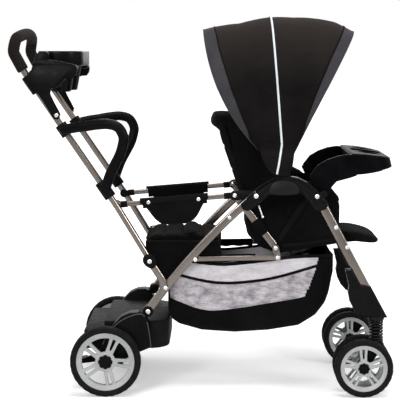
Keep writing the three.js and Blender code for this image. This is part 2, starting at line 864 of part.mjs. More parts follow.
const platformY = HOUSING_Y_IN - GAP;
function platformShape(inset) {
  const x0 = PLATFORM_REAR_X + inset;
  const x1 = PLATFORM_FRONT_X - inset;
  const y = platformY - inset;
  const r = PLATFORM_CORNER_R - inset;
  const shape = new THREE.Shape();
  shape.moveTo(x0, -y);
  shape.lineTo(x1 - r, -y);
  shape.absarc(x1 - r, r - y, r, -Math.PI / 2, 0);
  shape.lineTo(x1, y - r);
  shape.absarc(x1 - r, y - r, r, 0, Math.PI / 2);
  shape.lineTo(x0, y);
  return shape;
}
const platformBlock = slab(platformShape(0), PLATFORM_BOTTOM_Z, PLATFORM_TOP_Z, PLATFORM_EDGE);
const stepX = HOUSING_REAR_X + HOUSING_LUG_R;
const stepOf = (x, z) =>
  new THREE.BoxGeometry(x - PLATFORM_REAR_X + OVERRUN, 2 * platformY + OVERRUN, PLATFORM_TOP_Z).translate(
    (x + PLATFORM_REAR_X - OVERRUN) / 2,
    0,
    z + PLATFORM_TOP_Z / 2,
  );
const platformHollow = cut(
  slab(
    platformShape(PLATFORM_WALL),
    PLATFORM_BOTTOM_Z - OVERRUN,
    PLATFORM_TOP_Z - PLATFORM_WALL,
  ),
  stepOf(stepX + PLATFORM_WALL, PLATFORM_REAR_TOP_Z - PLATFORM_WALL),
);
const ribHigh = PLATFORM_TOP_Z - PLATFORM_BOTTOM_Z - PLATFORM_RIB_LIFT;
const ribShares = [-0.45, 0, 0.45];
const platformRibs = ribShares.map((s) =>
  new THREE.BoxGeometry(
    PLATFORM_FRONT_X - PLATFORM_REAR_X - PLATFORM_WALL,
    PLATFORM_RIB,
    ribHigh,
  ).translate(
    (PLATFORM_FRONT_X + PLATFORM_REAR_X) / 2,
    s * platformY,
    PLATFORM_TOP_Z - PLATFORM_WALL + BITE - ribHigh / 2,
  ),
);
const platformShell = join(cut(platformBlock, platformHollow), ...platformRibs);
add("standing_platform", cut(platformShell, stepOf(stepX, PLATFORM_REAR_TOP_Z)), blackPlastic);

// Brake pedals: levers on the rear axle, just inside the housings

const pedalIn = PEDAL_Y - PEDAL_THICK / 2;
const pedalOut = PEDAL_Y + PEDAL_THICK / 2;
const pedalTailX = REAR_AXLE_X - PEDAL_LENGTH;
const pedalLever = join(
  plate(
    barShape(REAR_AXLE_X, REAR_WHEEL_R, pedalTailX, REAR_WHEEL_R, PEDAL_HUB_R, PEDAL_HUB_R / 2),
    pedalIn,
    pedalOut,
  ),
  plate(
    barShape(
      REAR_AXLE_X,
      REAR_WHEEL_R,
      REAR_AXLE_X + PEDAL_ARM,
      REAR_WHEEL_R - PEDAL_TAIL_DROP,
      PEDAL_HUB_R,
      PEDAL_HUB_R / 2,
    ),
    pedalIn,
    pedalOut,
  ),
  slab(
    roundedBox(
      pedalTailX - PEDAL_PAD / 2,
      pedalTailX + PEDAL_PAD / 2,
      pedalIn - PEDAL_PAD,
      pedalOut,
      PEDAL_HUB_R / 2,
    ),
    REAR_WHEEL_R - BITE,
    REAR_WHEEL_R + PEDAL_HUB_R / 2,
    BITE,
  ),
);
const pedalBore = rodY(
  REAR_AXLE_X,
  REAR_WHEEL_R,
  REAR_AXLE_R + PIN_GAP,
  pedalIn - OVERRUN,
  pedalOut + OVERRUN,
);
const pedalSolid = cut(pedalLever, pedalBore)
  .translate(-REAR_AXLE_X, 0, -REAR_WHEEL_R)
  .rotateY(-PEDAL_TILT * DEGREE)
  .translate(REAR_AXLE_X, 0, REAR_WHEEL_R);
addPair("brake_pedal", pedalSolid, blackPlastic);

// Bench: a moulded base on side plates that bolt to the rear legs, and its pad

const plateOut = BENCH_Y + BENCH_PLATE;
const benchPlateShape = new THREE.Shape(
  inBox(BENCH_REAR_X, BENCH_BOLT_Z, BENCH_FRONT_X, BENCH_TOP_Z, [
    [0, 1],
    [0, 0.86],
    [0.08, 0.62],
    [0.2, 0.1],
    [0.21, 0],
    [0.34, 0],
    [0.36, 0.09],
    [0.53, 0.5],
    [0.7, 0.69],
    [1, 0.72],
    [1, 1],
  ]),
);
const benchTop = new THREE.BoxGeometry(
  BENCH_FRONT_X - BENCH_REAR_X,
  2 * BENCH_Y + BITE,
  BENCH_WALL,
).translate((BENCH_FRONT_X + BENCH_REAR_X) / 2, 0, BENCH_TOP_Z - BENCH_WALL / 2);
const benchFrontWall = new THREE.BoxGeometry(
  BENCH_WALL,
  2 * BENCH_Y + BITE,
  BENCH_TOP_Z - BENCH_BOTTOM_Z,
).translate(BENCH_FRONT_X - BENCH_WALL / 2, 0, (BENCH_TOP_Z + BENCH_BOTTOM_Z) / 2);
const benchRearWall = benchFrontWall.clone().translate(BENCH_REAR_X - BENCH_FRONT_X + BENCH_WALL, 0, 0);
const benchSides = [-1, 1].flatMap((sign) => {
  const side = plate(benchPlateShape, BENCH_Y, plateOut);
  const boss = rodY(BENCH_BOLT_X, BENCH_BOLT_Z, BENCH_BOLT_R, BENCH_Y, rearLegIn - GAP);
  return sign > 0 ? [side, boss] : [mirrored(side), mirrored(boss)];
});
add("bench_frame", join(benchTop, benchFrontWall, benchRearWall, ...benchSides), blackPlastic);
const benchPad = cushion(
  BENCH_FRONT_X - BENCH_REAR_X,
  BENCH_PAD_Y,
  BENCH_PAD_HEIGHT,
  3,
  13,
  10,
).translate(BENCH_REAR_X, 0, BENCH_TOP_Z + GAP);
add("bench_pad", benchPad, cloth);

// Handle: one bent tube from pivot to pivot, with a foam grip over its top

const gripElbowX = GRIP_FOOT_X - GRIP_ELBOW_BACK;
const gripElbowZ = GRIP_FOOT_Z + GRIP_ELBOW_RISE;
const gripCornerX = GRIP_FOOT_X - GRIP_CORNER_BACK;
const gripCornerZ = GRIP_FOOT_Z + GRIP_CORNER_RISE;
const gripTopX = GRIP_FOOT_X - GRIP_TOP_BACK;
const gripTopZ = GRIP_FOOT_Z + GRIP_TOP_RISE;

function handleSide(sign) {
  const y = sign * HANDLE_Y;
  const CROWN_SHARE = 0.56;
  const CROWN_RISE_SHARE = 0.62;
  const midX = gripCornerX + CROWN_RISE_SHARE * (gripTopX - gripCornerX);
  const midZ = gripCornerZ + CROWN_RISE_SHARE * (gripTopZ - gripCornerZ);
  return [
    at(HANDLE_PIVOT_X, HANDLE_PIVOT_Z, y),
    at(RAIL_PIVOT_X, RAIL_PIVOT_Z, y),
    at(GRIP_FOOT_X, GRIP_FOOT_Z, y),
    at(gripElbowX, gripElbowZ, y),
    at(gripCornerX, gripCornerZ, y),
    at(midX, midZ, CROWN_SHARE * y),
  ];
}
const handleCorners = [
  ...handleSide(1),
  at(gripTopX, gripTopZ, 0),
  ...handleSide(-1).reverse(),
];
const sideBends = [
  HANDLE_BEND_REACH,
  HANDLE_BEND_REACH,
  GRIP_ELBOW_REACH,
  GRIP_CORNER_REACH,
  GRIP_CROWN_REACH,
];
const handleBends = [...sideBends, GRIP_MIDDLE_REACH, ...sideBends.slice().reverse()];
const handleStations = stationsOf(bentPath(handleCorners, handleBends));
const handleSolid = join(
  extrudedAlong(handleStations, new THREE.Shape(sectionPoints(HANDLE_R, HANDLE_R, TUBE_SIDES, 1))),
  rodY(HANDLE_PIVOT_X, HANDLE_PIVOT_Z, HANDLE_R, HANDLE_Y - HANDLE_R, HANDLE_Y + HANDLE_R),
  rodY(HANDLE_PIVOT_X, HANDLE_PIVOT_Z, HANDLE_R, -HANDLE_Y - HANDLE_R, HANDLE_R - HANDLE_Y),
);
add("handle_tube", handleSolid, champagne);
const gripStations = handleStations.filter((s) => s.p.z > GRIP_FOOT_Z);
add("handle_grip", hollowTube(gripStations, GRIP_R, HANDLE_R + GAP), foam);

// Places on the straight upper stretch of the handle, found by their X.
const upperRun = (RAIL_PIVOT_Z - GRIP_FOOT_Z) / (RAIL_PIVOT_X - GRIP_FOOT_X);
const onHandle = (x, y = HANDLE_Y) => at(x, GRIP_FOOT_Z + (x - GRIP_FOOT_X) * upperRun, y);
const alongHandle = (share) => THREE.MathUtils.lerp(GRIP_FOOT_X, RAIL_PIVOT_X, share);
const upperCosine = 1 / Math.hypot(1, upperRun);

// A sleeve round the handle, centred at an X, and the tube's own space to cut out of it.
function sleeve(x, length, radius) {
  const half = (length * upperCosine) / 2;
  return roundTube(lineOf(onHandle(x - half), onHandle(x + half)), radius, 1);
}
const handleSpace = roundTube(
  lineOf(onHandle(GRIP_FOOT_X), onHandle(RAIL_PIVOT_X)),
  HANDLE_R + GAP,
  1,
);

// Grab bars: D-shaped loops that flare outwards, clamped to the handle at both ends

const grabTop = onHandle(alongHandle(GRAB_TOP_SHARE));
const grabBottom = onHandle(alongHandle(GRAB_BOTTOM_SHARE));
const grabShares = [
  [0.02, 0.02, 0.1],
  [0.2, 0.16, 0.36],
  [0.36, 0.24, 0.6],
  [0.56, 0.36, 0.78],
  [0.76, 0.4, 0.94],
  [0.92, 0.2, 1],
  [1, -0.34, 1],
  [0.99, -0.8, 0.96],
  [0.94, -1.4, 0.86],
  [0.84, -2.1, 0.62],
  [0.76, -2.7, 0.34],
];
const grabPoints = grabShares.map(([s, t, w]) =>
  at(
    grabTop.x + s * GRAB_REACH,
    grabTop.z + t * GRAB_RISE,
    HANDLE_Y + HANDLE_R + w * GRAB_FLARE,
  ),
);
const grabCurve = smoothCurve([
  grabTop.clone().add(at(0, 0, HANDLE_R)),
  ...grabPoints,
  grabBottom.clone().add(at(0, 0, HANDLE_R)),
]);
const grabLoop = join(
  roundTube(grabCurve, GRAB_R, 17, 8),
  sleeve(grabTop.x, GRAB_CLAMP_LENGTH, GRAB_CLAMP_R),
  sleeve(grabBottom.x, GRAB_CLAMP_LENGTH, GRAB_CLAMP_R),
);
addPair("grab_bar", cut(grabLoop, handleSpace), blackPlastic);

// Parent tray: two tapered cups and a middle well, clamped to both sides of the handle

const clampAt = onHandle(alongHandle(TRAY_CLAMP_SHARE));
const trayX = clampAt.x + TRAY_REACH;
const trayLowZ = TRAY_TOP_Z - TRAY_BAND;
const trayX0 = trayX - TRAY_WIDE / 2;
const trayX1 = trayX + TRAY_WIDE / 2;
const trayBody = slab(
  roundedBox(trayX0, trayX1, -TRAY_Y, TRAY_Y, TRAY_CORNER_R),
  trayLowZ,
  TRAY_TOP_Z,
  TRAY_EDGE,
);
const cupBottomR = CUP_R - CUP_TAPER;
const trayCups = [-1, 1].map((sign) =>
  rodZ(trayX, sign * CUP_Y, cupBottomR, TRAY_TOP_Z - CUP_DEPTH, trayLowZ + TRAY_EDGE, CUP_R),
);
const trayWells = [-1, 1].map((sign) =>
  rodZ(
    trayX,
    sign * CUP_Y,
    cupBottomR - TRAY_WALL,
    TRAY_TOP_Z - CUP_DEPTH + TRAY_WALL,
    TRAY_TOP_Z + OVERRUN,
    CUP_R - TRAY_WALL,
  ),
);
const trayMiddle = slab(
  roundedBox(trayX0 + TRAY_WALL, trayX1 - TRAY_WALL, -TRAY_WELL_Y, TRAY_WELL_Y, TRAY_WALL * 2),
  TRAY_TOP_Z - TRAY_WELL_DEPTH,
  TRAY_TOP_Z + OVERRUN,
);
const clampIn = TRAY_Y - TRAY_CORNER_R / 4;
const strapFoot = onHandle(alongHandle(TRAY_STRAP_SHARE));
const strapIn = HANDLE_Y + HANDLE_R + GAP;
const clampShares = [
  [0.62, 1],
  [0.2, 0.98],
  [-0.06, 0.55],
  [-0.1, 0.24],
  [0.1, 0],
  [0.26, 0.36],
  [0.62, 0.6],
];
const clampOutline = inBox(
  clampAt.x,
  clampAt.z - TRAY_CLAMP_R,
  trayX,
  TRAY_TOP_Z - TRAY_EDGE,
  clampShares,
);
function trayClamp() {
  const arm = plate(clampOutline, clampIn, HANDLE_Y - TRAY_EDGE, TRAY_EDGE);
  const strap = plate(
    barShape(clampAt.x, clampAt.z, strapFoot.x, strapFoot.z, TRAY_STRAP_R, TRAY_STRAP_R),
    strapIn,
    strapIn + TRAY_STRAP_THICK,
  );
  return cut(join(arm, sleeve(clampAt.x, TRAY_CLAMP_LENGTH, TRAY_CLAMP_R), strap), handleSpace);
}
const trayClamps = [trayClamp(), mirrored(trayClamp())];
const trayShell = join(cut(join(trayBody, ...trayCups), ...trayWells, trayMiddle), ...trayClamps);
add("parent_tray", cut(trayShell, ...trayWells, trayMiddle), blackPlastic);

// Side rails and the panels that hang on them, drawn along X from the rear pivot and then tilted

const railOut = HANDLE_Y - HANDLE_R - GAP;
const railIn = railOut - RAIL_THICK;
const railLength = Math.hypot(EAR_X - RAIL_PIVOT_X, EAR_Z - RAIL_PIVOT_Z);
const railTilt = Math.atan2(EAR_Z - RAIL_PIVOT_Z, EAR_X - RAIL_PIVOT_X);
const onRail = (geometry) => geometry.rotateY(-railTilt).translate(RAIL_PIVOT_X, 0, RAIL_PIVOT_Z);
const railHalf = RAIL_HIGH / 2;
const RAIL_EYE_SHARE = 0.72;
const railEyeR = RAIL_HIGH * RAIL_EYE_SHARE;
const railSolid = join(
  plate(barShape(0, 0, railLength, 0, railHalf, railHalf), railIn, railOut, BITE),
  rodY(0, 0, railEyeR, railIn, railOut),
  rodY(railLength, 0, railEyeR, railIn, railOut),
);
addPair("side_rail", onRail(railSolid), champagne);

const panelOut = railOut + GAP + PANEL_SKIN;
const panelTop = railHalf + GAP + PANEL_SKIN;
const panelShares = [
  [0, 1],
  [0.005, 0.84],
  [0.06, 0.74],
  [0.19, 0.24],
  [0.27, 0.06],
  [0.4, 0],
  [0.66, 0.02],
  [0.76, 0.1],
  [0.83, 0.28],
  [0.95, 0.78],
  [1, 0.86],
  [1, 1],
];
const panelOutline = inBox(
  PANEL_START,
  panelTop - PANEL_DROP,
  PANEL_START + PANEL_LENGTH,
  panelTop,
  panelShares,
);
const panelBridge = new THREE.BoxGeometry(PANEL_LENGTH, panelOut - railIn + GAP + PANEL_SKIN, PANEL_SKIN);
const panelFlap = new THREE.BoxGeometry(
  PANEL_LENGTH,
  PANEL_SKIN,
  RAIL_HIGH + PANEL_LIP + PANEL_SKIN,
);
const panelMid = PANEL_START + PANEL_LENGTH / 2;
const flapIn = railIn - GAP - PANEL_SKIN;
const panelSolid = join(
  plate(panelOutline, railOut + GAP, panelOut),
  panelBridge.translate(panelMid, (flapIn + panelOut) / 2, panelTop - PANEL_SKIN / 2),
  panelFlap.translate(
    panelMid,
    flapIn + PANEL_SKIN / 2,
    panelTop - (RAIL_HIGH + PANEL_LIP + PANEL_SKIN) / 2,
  ),
);
addPair("side_panel", onRail(panelSolid), cloth);

// Front legs: straight flat-oval tubes from the hub arch down into the fork housing

const legTop = at(FRONT_LEG_TOP_X, FRONT_LEG_TOP_Z, FRONT_Y);
const legEnd = at(FRONT_LEG_FOOT_X, FRONT_LEG_FOOT_Z, FRONT_Y);
addPair(
  "front_leg",
  flatTube(lineOf(legTop, legEnd), FRONT_LEG_THICK, FRONT_LEG_WIDE, 1),
  champagne,
);
const legRun = legEnd.clone().sub(legTop).normalize();
const legSpace = flatTube(
  lineOf(legTop.clone().addScaledVector(legRun, -GAP), legEnd.clone().addScaledVector(legRun, GAP)),
  FRONT_LEG_THICK + 2 * GAP,
  FRONT_LEG_WIDE + 2 * GAP,
  1,
);

// Hub arches: a moulded arch outside each rear leg, an inner plate with the ear for the side rail,
// and the pins for the leg, the child tray and the canopy

const archShares = [
  [0, 0.12],
  [0.1, 0.36],
  [0.27, 0.72],
  [0.41, 0.94],
  [0.56, 1],
  [0.72, 0.86],
  [0.86, 0.56],
  [1, 0.1],
  [0.9, -0.08],
  [0.83, -0.02],
  [0.74, 0.3],
  [0.65, 0.54],
  [0.55, 0.62],
  [0.42, 0.6],
  [0.32, 0.4],
  [0.21, 0.16],
  [0.12, -0.04],
  [0.03, -0.06],
];
const archOutline = inBox(ARCH_REAR_X, ARCH_LOW_Z, ARCH_FRONT_X, ARCH_TOP_Z, archShares);
const archIn = rearLegOut + GAP;
const archPlateOut = rearLegIn - GAP;
const archPlateIn = archPlateOut - ARCH_PLATE;
const earR = RAIL_HIGH;
const bowStackOut = CANOPY_HALF_WIDTH - CANOPY_SKIN - 2 * GAP;
const mountIn = bowStackOut + GAP;
const childArmOut = CHILD_ARM_Y + CHILD_ARM_THICK;
const archRibShares = [
  [0.12, 0.22],
  [0.3, 0.66],
  [0.43, 0.86],
  [0.56, 0.91],
  [0.71, 0.77],
  [0.83, 0.49],
  [0.95, 0.12],
];
const archRib = roundTube(
  smoothCurve(
    archRibShares.map(([s, t]) =>
      at(
        ARCH_REAR_X + s * (ARCH_FRONT_X - ARCH_REAR_X),
        ARCH_LOW_Z + t * (ARCH_TOP_Z - ARCH_LOW_Z),
        ARCH_Y_OUT - ARCH_RIB / 2,
      ),
    ),
  ),
  ARCH_RIB,
  7,
  5,
);
const archBody = join(
  plate(smoothOutline(archOutline, 24), archIn, ARCH_Y_OUT, ARCH_EDGE),
  archRib,
  rodY(HUB_X, HUB_Z, HUB_PIN_R, archPlateIn, archIn + BITE),
  plate(barShape(HUB_X, HUB_Z, EAR_X, EAR_Z, eyeR, earR), archPlateIn, archPlateOut),
  rodY(TRAY_PIVOT_X, TRAY_PIVOT_Z, 2 * TRAY_PIN_R, archIn + GAP, ARCH_Y_OUT - ARCH_EDGE),
  rodY(TRAY_PIVOT_X, TRAY_PIVOT_Z, TRAY_PIN_R, CHILD_ARM_Y, archIn + BITE),
  rodY(CANOPY_X, CANOPY_Z, BOW_HUB_R + BITE, mountIn, ARCH_Y_OUT - ARCH_EDGE),
  plate(
    barShape(CANOPY_X, CANOPY_Z, CANOPY_X, ARCH_TOP_Z - OVERRUN, BOW_HUB_R, 2 * BOW_HUB_R),
    mountIn,
    ARCH_Y_OUT - ARCH_EDGE,
  ),
  rodY(CANOPY_X, CANOPY_Z, BOW_PIN_R, bowStackOut - 3 * (BOW_THICK + GAP), mountIn + BITE),
);
addPair("hub_arch", cut(archBody, legSpace), blackPlastic);

// Fork housings: moulded feet of the front legs, with the bore for the caster stem

const forkShares = [
  [0.008, 1],
  [0.155, 1],
  [0.35, 0.68],
  [0.6, 0.655],
  [1, 0],
  [0.46, 0],
  [0.34, 0.045],
  [0.2, 0.18],
  [0.12, 0.32],
  [0.076, 0.51],
  [0.1, 0.655],
];
const forkOutline = inBox(FORK_REAR_X, FORK_BOTTOM_Z, FORK_FRONT_X, FORK_TOP_Z, forkShares);
const forkIn = FRONT_Y - FORK_THICK / 2;
const forkOut = FRONT_Y + FORK_THICK / 2;
const stemTopZ = FORK_BOTTOM_Z + STEM_REACH;
const forkBody = join(
  plate(forkOutline, forkIn, forkOut, FORK_EDGE),
  rodZ(SWIVEL_X, FRONT_Y, STEM_DISC_R, FORK_BOTTOM_Z, FORK_BOTTOM_Z + STEM_DISC),
);
const forkBore = rodZ(
  SWIVEL_X,
  FRONT_Y,
  STEM_R + PIN_GAP,
  FORK_BOTTOM_Z - OVERRUN,
  stemTopZ + PIN_GAP,
);
addPair("fork_housing", cut(forkBody, legSpace, forkBore), blackPlastic);

// Cross tube between the front legs
const crossEnd = FRONT_Y - FRONT_LEG_THICK / 2 - GAP;
add("front_cross_tube", rodY(CROSS_X, CROSS_Z, CROSS_TUBE_R, -crossEnd, crossEnd), champagne);

// Casters: a stem that swivels, a spring round its shaft and a carrier that slides on it

const discTopZ = FORK_BOTTOM_Z - GAP;
const discLowZ = discTopZ - STEM_DISC;
const carrierTopZ = discLowZ - SPRING_SPACE;
const shaftLowZ = carrierTopZ - SPRING_TRAVEL - CARRIER_DISC - STEM_REACH / 2;
const stemSolid = join(
  rodZ(SWIVEL_X, FRONT_Y, STEM_DISC_R, discLowZ, discTopZ),
  rodZ(SWIVEL_X, FRONT_Y, STEM_R, discTopZ - BITE, stemTopZ),
  rodZ(SWIVEL_X, FRONT_Y, STEM_SHAFT_R, shaftLowZ, discLowZ + BITE),
);
addPair("caster_stem", stemSolid, steel);

const carrierIn = FRONT_Y - CARRIER_THICK / 2;
const carrierOut = FRONT_Y + CARRIER_THICK / 2;
const axleZ = FRONT_WHEEL_R;
const HUB_ARC_SHARE = 1.8;
const carrierShape = new THREE.Shape();
carrierShape.moveTo(SWIVEL_X - CARRIER_DISC_R, carrierTopZ);
carrierShape.lineTo(SWIVEL_X - CARRIER_DISC_R, carrierTopZ - CARRIER_DISC);
carrierShape.lineTo(FRONT_AXLE_X - CARRIER_HUB_R, axleZ);
carrierShape.absarc(FRONT_AXLE_X, axleZ, CARRIER_HUB_R, Math.PI, HUB_ARC_SHARE * Math.PI);
carrierShape.lineTo(SWIVEL_X + CARRIER_HUB_R, carrierTopZ - 2 * CARRIER_DISC);
carrierShape.lineTo(SWIVEL_X + CARRIER_DISC_R, carrierTopZ - CARRIER_DISC);
carrierShape.lineTo(SWIVEL_X + CARRIER_DISC_R, carrierTopZ);
const hubReach = FRONT_WHEEL_SPREAD + FRONT_TYRE_WIDTH / 8;
const carrierBody = join(
  plate(carrierShape, carrierIn, carrierOut, BITE),
  rodZ(SWIVEL_X, FRONT_Y, CARRIER_DISC_R, carrierTopZ - CARRIER_DISC, carrierTopZ, CARRIER_DISC_R, 24),
  rodY(FRONT_AXLE_X, axleZ, FRONT_AXLE_R, FRONT_Y - hubReach, FRONT_Y + hubReach),
);
const shaftBore = rodZ(
  SWIVEL_X,
  FRONT_Y,
  STEM_SHAFT_R + PIN_GAP,
  shaftLowZ - SPRING_TRAVEL - OVERRUN,
  carrierTopZ + OVERRUN,
);
addPair("caster_carrier", cut(carrierBody, shaftBore), blackPlastic);

// Springs: one unbroken coil each, with a half turn laid flat at each end

function springStations() {
  const CURL_STEPS = 8;
  const FLAT_TURN_SHARE = 0.5;
  const low = carrierTopZ + GAP + SPRING_WIRE_R;
  const high = discLowZ - GAP - SPRING_WIRE_R;
  const steps = SPRING_TURNS * CURL_STEPS;
  const flat = FLAT_TURN_SHARE * CURL_STEPS;
  const stations = [];
  for (let i = 0; i <= steps; i++) {
    const angle = (2 * Math.PI * i) / CURL_STEPS;
    const climb = THREE.MathUtils.smoothstep(i, flat / 2, steps - flat / 2);
    const even = THREE.MathUtils.clamp((i - flat / 2) / (steps - flat), 0, 1);
    const share = (climb + 3 * even) / 4;
    const out = new THREE.Vector3(Math.cos(angle), Math.sin(angle), 0);
    const p = out.clone().multiplyScalar(SPRING_R).add(at(SWIVEL_X, low + share * (high - low), FRONT_Y));
    stations.push({ p, u: out, v: new THREE.Vector3(0, 0, 1) });
  }
  return stations;
}

// The least gap between turns, measured on the coil's own stations.
function springGap(stations) {
  let least = Infinity;
  stations.forEach((a, i) => {
    stations.slice(i + 5).forEach((b) => {
      least = Math.min(least, a.p.distanceTo(b.p) - 2 * SPRING_WIRE_R);
    });
  });
  return least;
}
const coil = springStations();
console.log("spring: least gap between turns " + springGap(coil).toFixed(2) + " mm");
addPair("front_spring", skinOver(coil.map((s) => ring(s, SPRING_WIRE_R, SPRING_WIRE_R, 5))), steel);

// Seat frame: a lower rail on each side, joined by a cross tube, with the tab for the seat link

const lowerRailOut = rearLegIn - GAP;
const lowerRailIn = lowerRailOut - LOWER_RAIL_THICK;
const linkOut = railIn - GAP;
const linkIn = linkOut - LINK_THICK;
const lowerHalf = LOWER_RAIL_HIGH / 2;
const TAB_SHARE = 1.3;
const tabHalf = lowerHalf * TAB_SHARE;
function seatSide() {
  const rail = plate(
    barShape(
      LOWER_RAIL_X,
      LOWER_RAIL_Z,
      LOWER_RAIL_END_X,
      LOWER_RAIL_END_Z,
      lowerHalf,
      lowerHalf,
    ),
    lowerRailIn,
    lowerRailOut,
    BITE,
  );
  const tab = plate(
    barShape(
      LOWER_RAIL_END_X,
      LOWER_RAIL_END_Z,
      SEAT_PIVOT_X,
      SEAT_PIVOT_Z,
      tabHalf,
      tabHalf,
    ),
    lowerRailIn,
    lowerRailOut,
  );
  const boss = rodY(SEAT_PIVOT_X, SEAT_PIVOT_Z, tabHalf, linkOut + GAP, lowerRailIn + BITE);
  return [rail, tab, boss];
}
const seatTube = rodY(
  LOWER_RAIL_END_X,
  LOWER_RAIL_END_Z,
  CROSS_TUBE_R,
  -lowerRailIn - BITE,
  lowerRailIn + BITE,
);
add("seat_frame", join(seatTube, ...seatSide(), ...seatSide().map(mirrored)), champagne);

// Seat links: from the seat frame's tabs up to the ears of the hub arches
const linkR = LINK_WIDE / 2;
const linkEyeR = CROSS_TUBE_R + BITE;
const linkLength = Math.hypot(EAR_X - SEAT_PIVOT_X, EAR_Z - SEAT_PIVOT_Z);
const linkShort = linkR / linkLength;
const linkStart = alongLine(at(SEAT_PIVOT_X, SEAT_PIVOT_Z), at(EAR_X, EAR_Z), 0, [[linkShort, 0]])[0];
const linkSolid = join(
  plate(barShape(linkStart.x, linkStart.z, EAR_X, EAR_Z, linkR, linkR), linkIn, linkOut, BITE),
  rodY(SEAT_PIVOT_X, SEAT_PIVOT_Z, linkEyeR, linkIn, linkOut),
);
addPair("seat_link", linkSolid, champagne);

// Seat tub: side walls and a floor of stiffened fabric, open at the front, the top and behind

const tubLowZ = LOWER_RAIL_END_Z + CROSS_TUBE_R + GAP;
const tubWallShares = [
  [0, 0.34],
  [0.02, 0.16],
  [0.12, 0.08],
  [0.3, 0],
  [0.97, 0.14],
  [1, 0.26],
  [1, 0.66],
  [0.97, 0.8],
  [0.88, 0.93],
  [0.7, 1],
  [0.3, 1],
  [0.1, 0.9],
  [0.02, 0.7],
];
const tubWallOutline = inBox(TUB_REAR_X, tubLowZ, TUB_FRONT_X, TUB_TOP_Z, tubWallShares);
const tubFloorShares = [
  [0.02, 0.16],
  [0.12, 0.08],
  [0.3, 0],
  [0.97, 0.14],
  [0.99, 0.18],
  [0.3, 0.045],
  [0.14, 0.12],
  [0.04, 0.2],
];
const tubFloorOutline = inBox(TUB_REAR_X, tubLowZ, TUB_FRONT_X, TUB_TOP_Z, tubFloorShares);
const tubIn = TUB_Y - TUB_WALL;
const tubWall = plate(tubWallOutline, tubIn, TUB_Y, BITE);
const tubFloor = plate(tubFloorOutline, -tubIn - BITE, tubIn + BITE);
add("seat_tub", join(tubWall, mirrored(tubWall), tubFloor), cloth);

// Seat pad, backrest and calf rest
const seatPad = cushion(
  SEAT_PAD_FRONT_X - SEAT_PAD_REAR_X,
  SEAT_PAD_Y,
  SEAT_PAD_THICK,
  3,
  13,
  10,
)
  .rotateY(-SEAT_TILT * DEGREE)
  .translate(SEAT_PAD_REAR_X, 0, tubLowZ + SEAT_PAD_LIFT);
add("seat_pad", seatPad, cloth);

const leanTurn = -(90 + BACKREST_LEAN) * DEGREE;
const backPad = cushion(BACKREST_LENGTH, BACKREST_Y, BACKREST_THICK, 4, 17, 10)
  .rotateX(Math.PI)
  .translate(BACKREST_START, 0, BACKREST_THICK / 2)
  .rotateY(leanTurn)
  .translate(RECLINE_X, 0, RECLINE_Z);
const reclineRod = rodY(RECLINE_X, RECLINE_Z, RECLINE_ROD_R, GAP - tubIn, tubIn - GAP);
add("backrest", join(backPad, reclineRod), cloth);

const calfPad = cushion(CALF_LENGTH, CALF_Y, CALF_THICK, 2, 9, 10)
  .translate(CALF_KNUCKLE_R / 3, 0, CALF_LIFT - CALF_THICK / 2)
  .rotateY(CALF_DROP * DEGREE)
  .translate(CROSS_X, 0, CROSS_Z);
const KNUCKLE_SHARE = 0.9;
const knuckleY = CALF_Y * KNUCKLE_SHARE;
const calfBody = join(calfPad, rodY(CROSS_X, CROSS_Z, CALF_KNUCKLE_R, -knuckleY, knuckleY));
const calfBore = rodY(CROSS_X, CROSS_Z, CROSS_TUBE_R + PIN_GAP, -CALF_Y, CALF_Y);
add("calf_rest", cut(calfBody, calfBore), cloth);

// Child tray: a round-fronted tray with two cup wells and a snack well, on two curved arms

const childLowZ = CHILD_TRAY_TOP_Z - CHILD_TRAY_BAND;
function childTrayShape(inset) {
  const x0 = CHILD_TRAY_REAR_X + inset;
  const x1 = CHILD_TRAY_FRONT_X - inset;
  const y = childArmOut - GAP - inset;
  const r = CHILD_TRAY_CORNER_R - inset;
  const shape = new THREE.Shape();
  shape.moveTo(x0, -y);
  shape.lineTo(x1 - r, -y);
  shape.absarc(x1 - r, r - y, r, -Math.PI / 2, 0);
  shape.lineTo(x1, y - r);
  shape.absarc(x1 - r, y - r, r, 0, Math.PI / 2);
  shape.lineTo(x0, y);
  return shape;
}
const childBlock = slab(childTrayShape(0), childLowZ, CHILD_TRAY_TOP_Z, CHILD_TRAY_WALL);
const underside = slab(
  childTrayShape(CHILD_TRAY_WALL * 2),
  childLowZ - OVERRUN,
  CHILD_TRAY_TOP_Z - CHILD_WELL_DEPTH - CHILD_TRAY_WALL,
);
const childCupX = (CHILD_TRAY_REAR_X + CHILD_TRAY_FRONT_X) / 2;
const childCups = [-1, 1].map((sign) =>
  rodZ(
    childCupX,
    sign * CHILD_CUP_Y,
    CHILD_CUP_R,
    CHILD_TRAY_TOP_Z - CHILD_CUP_DEPTH,
    CHILD_TRAY_TOP_Z - CHILD_WELL_DEPTH,
    CHILD_CUP_R,
    20,
  ),
);
const childWells = [-1, 1].map((sign) =>
  rodZ(
    childCupX,
    sign * CHILD_CUP_Y,
    CHILD_CUP_R - CHILD_TRAY_WALL,
    CHILD_TRAY_TOP_Z - CHILD_CUP_DEPTH + CHILD_TRAY_WALL,
    CHILD_TRAY_TOP_Z + OVERRUN,
    CHILD_CUP_R - CHILD_TRAY_WALL,
    20,
  ),
);
const snackY = CHILD_CUP_Y - CHILD_CUP_R - CHILD_TRAY_WALL;
const snackWell = slab(
  roundedBox(
    CHILD_TRAY_REAR_X + 4 * CHILD_TRAY_WALL,
    CHILD_TRAY_FRONT_X - 4 * CHILD_TRAY_WALL,
    -snackY,
    snackY,
    3 * CHILD_TRAY_WALL,
  ),
  CHILD_TRAY_TOP_Z - CHILD_WELL_DEPTH,
  CHILD_TRAY_TOP_Z + OVERRUN,
);
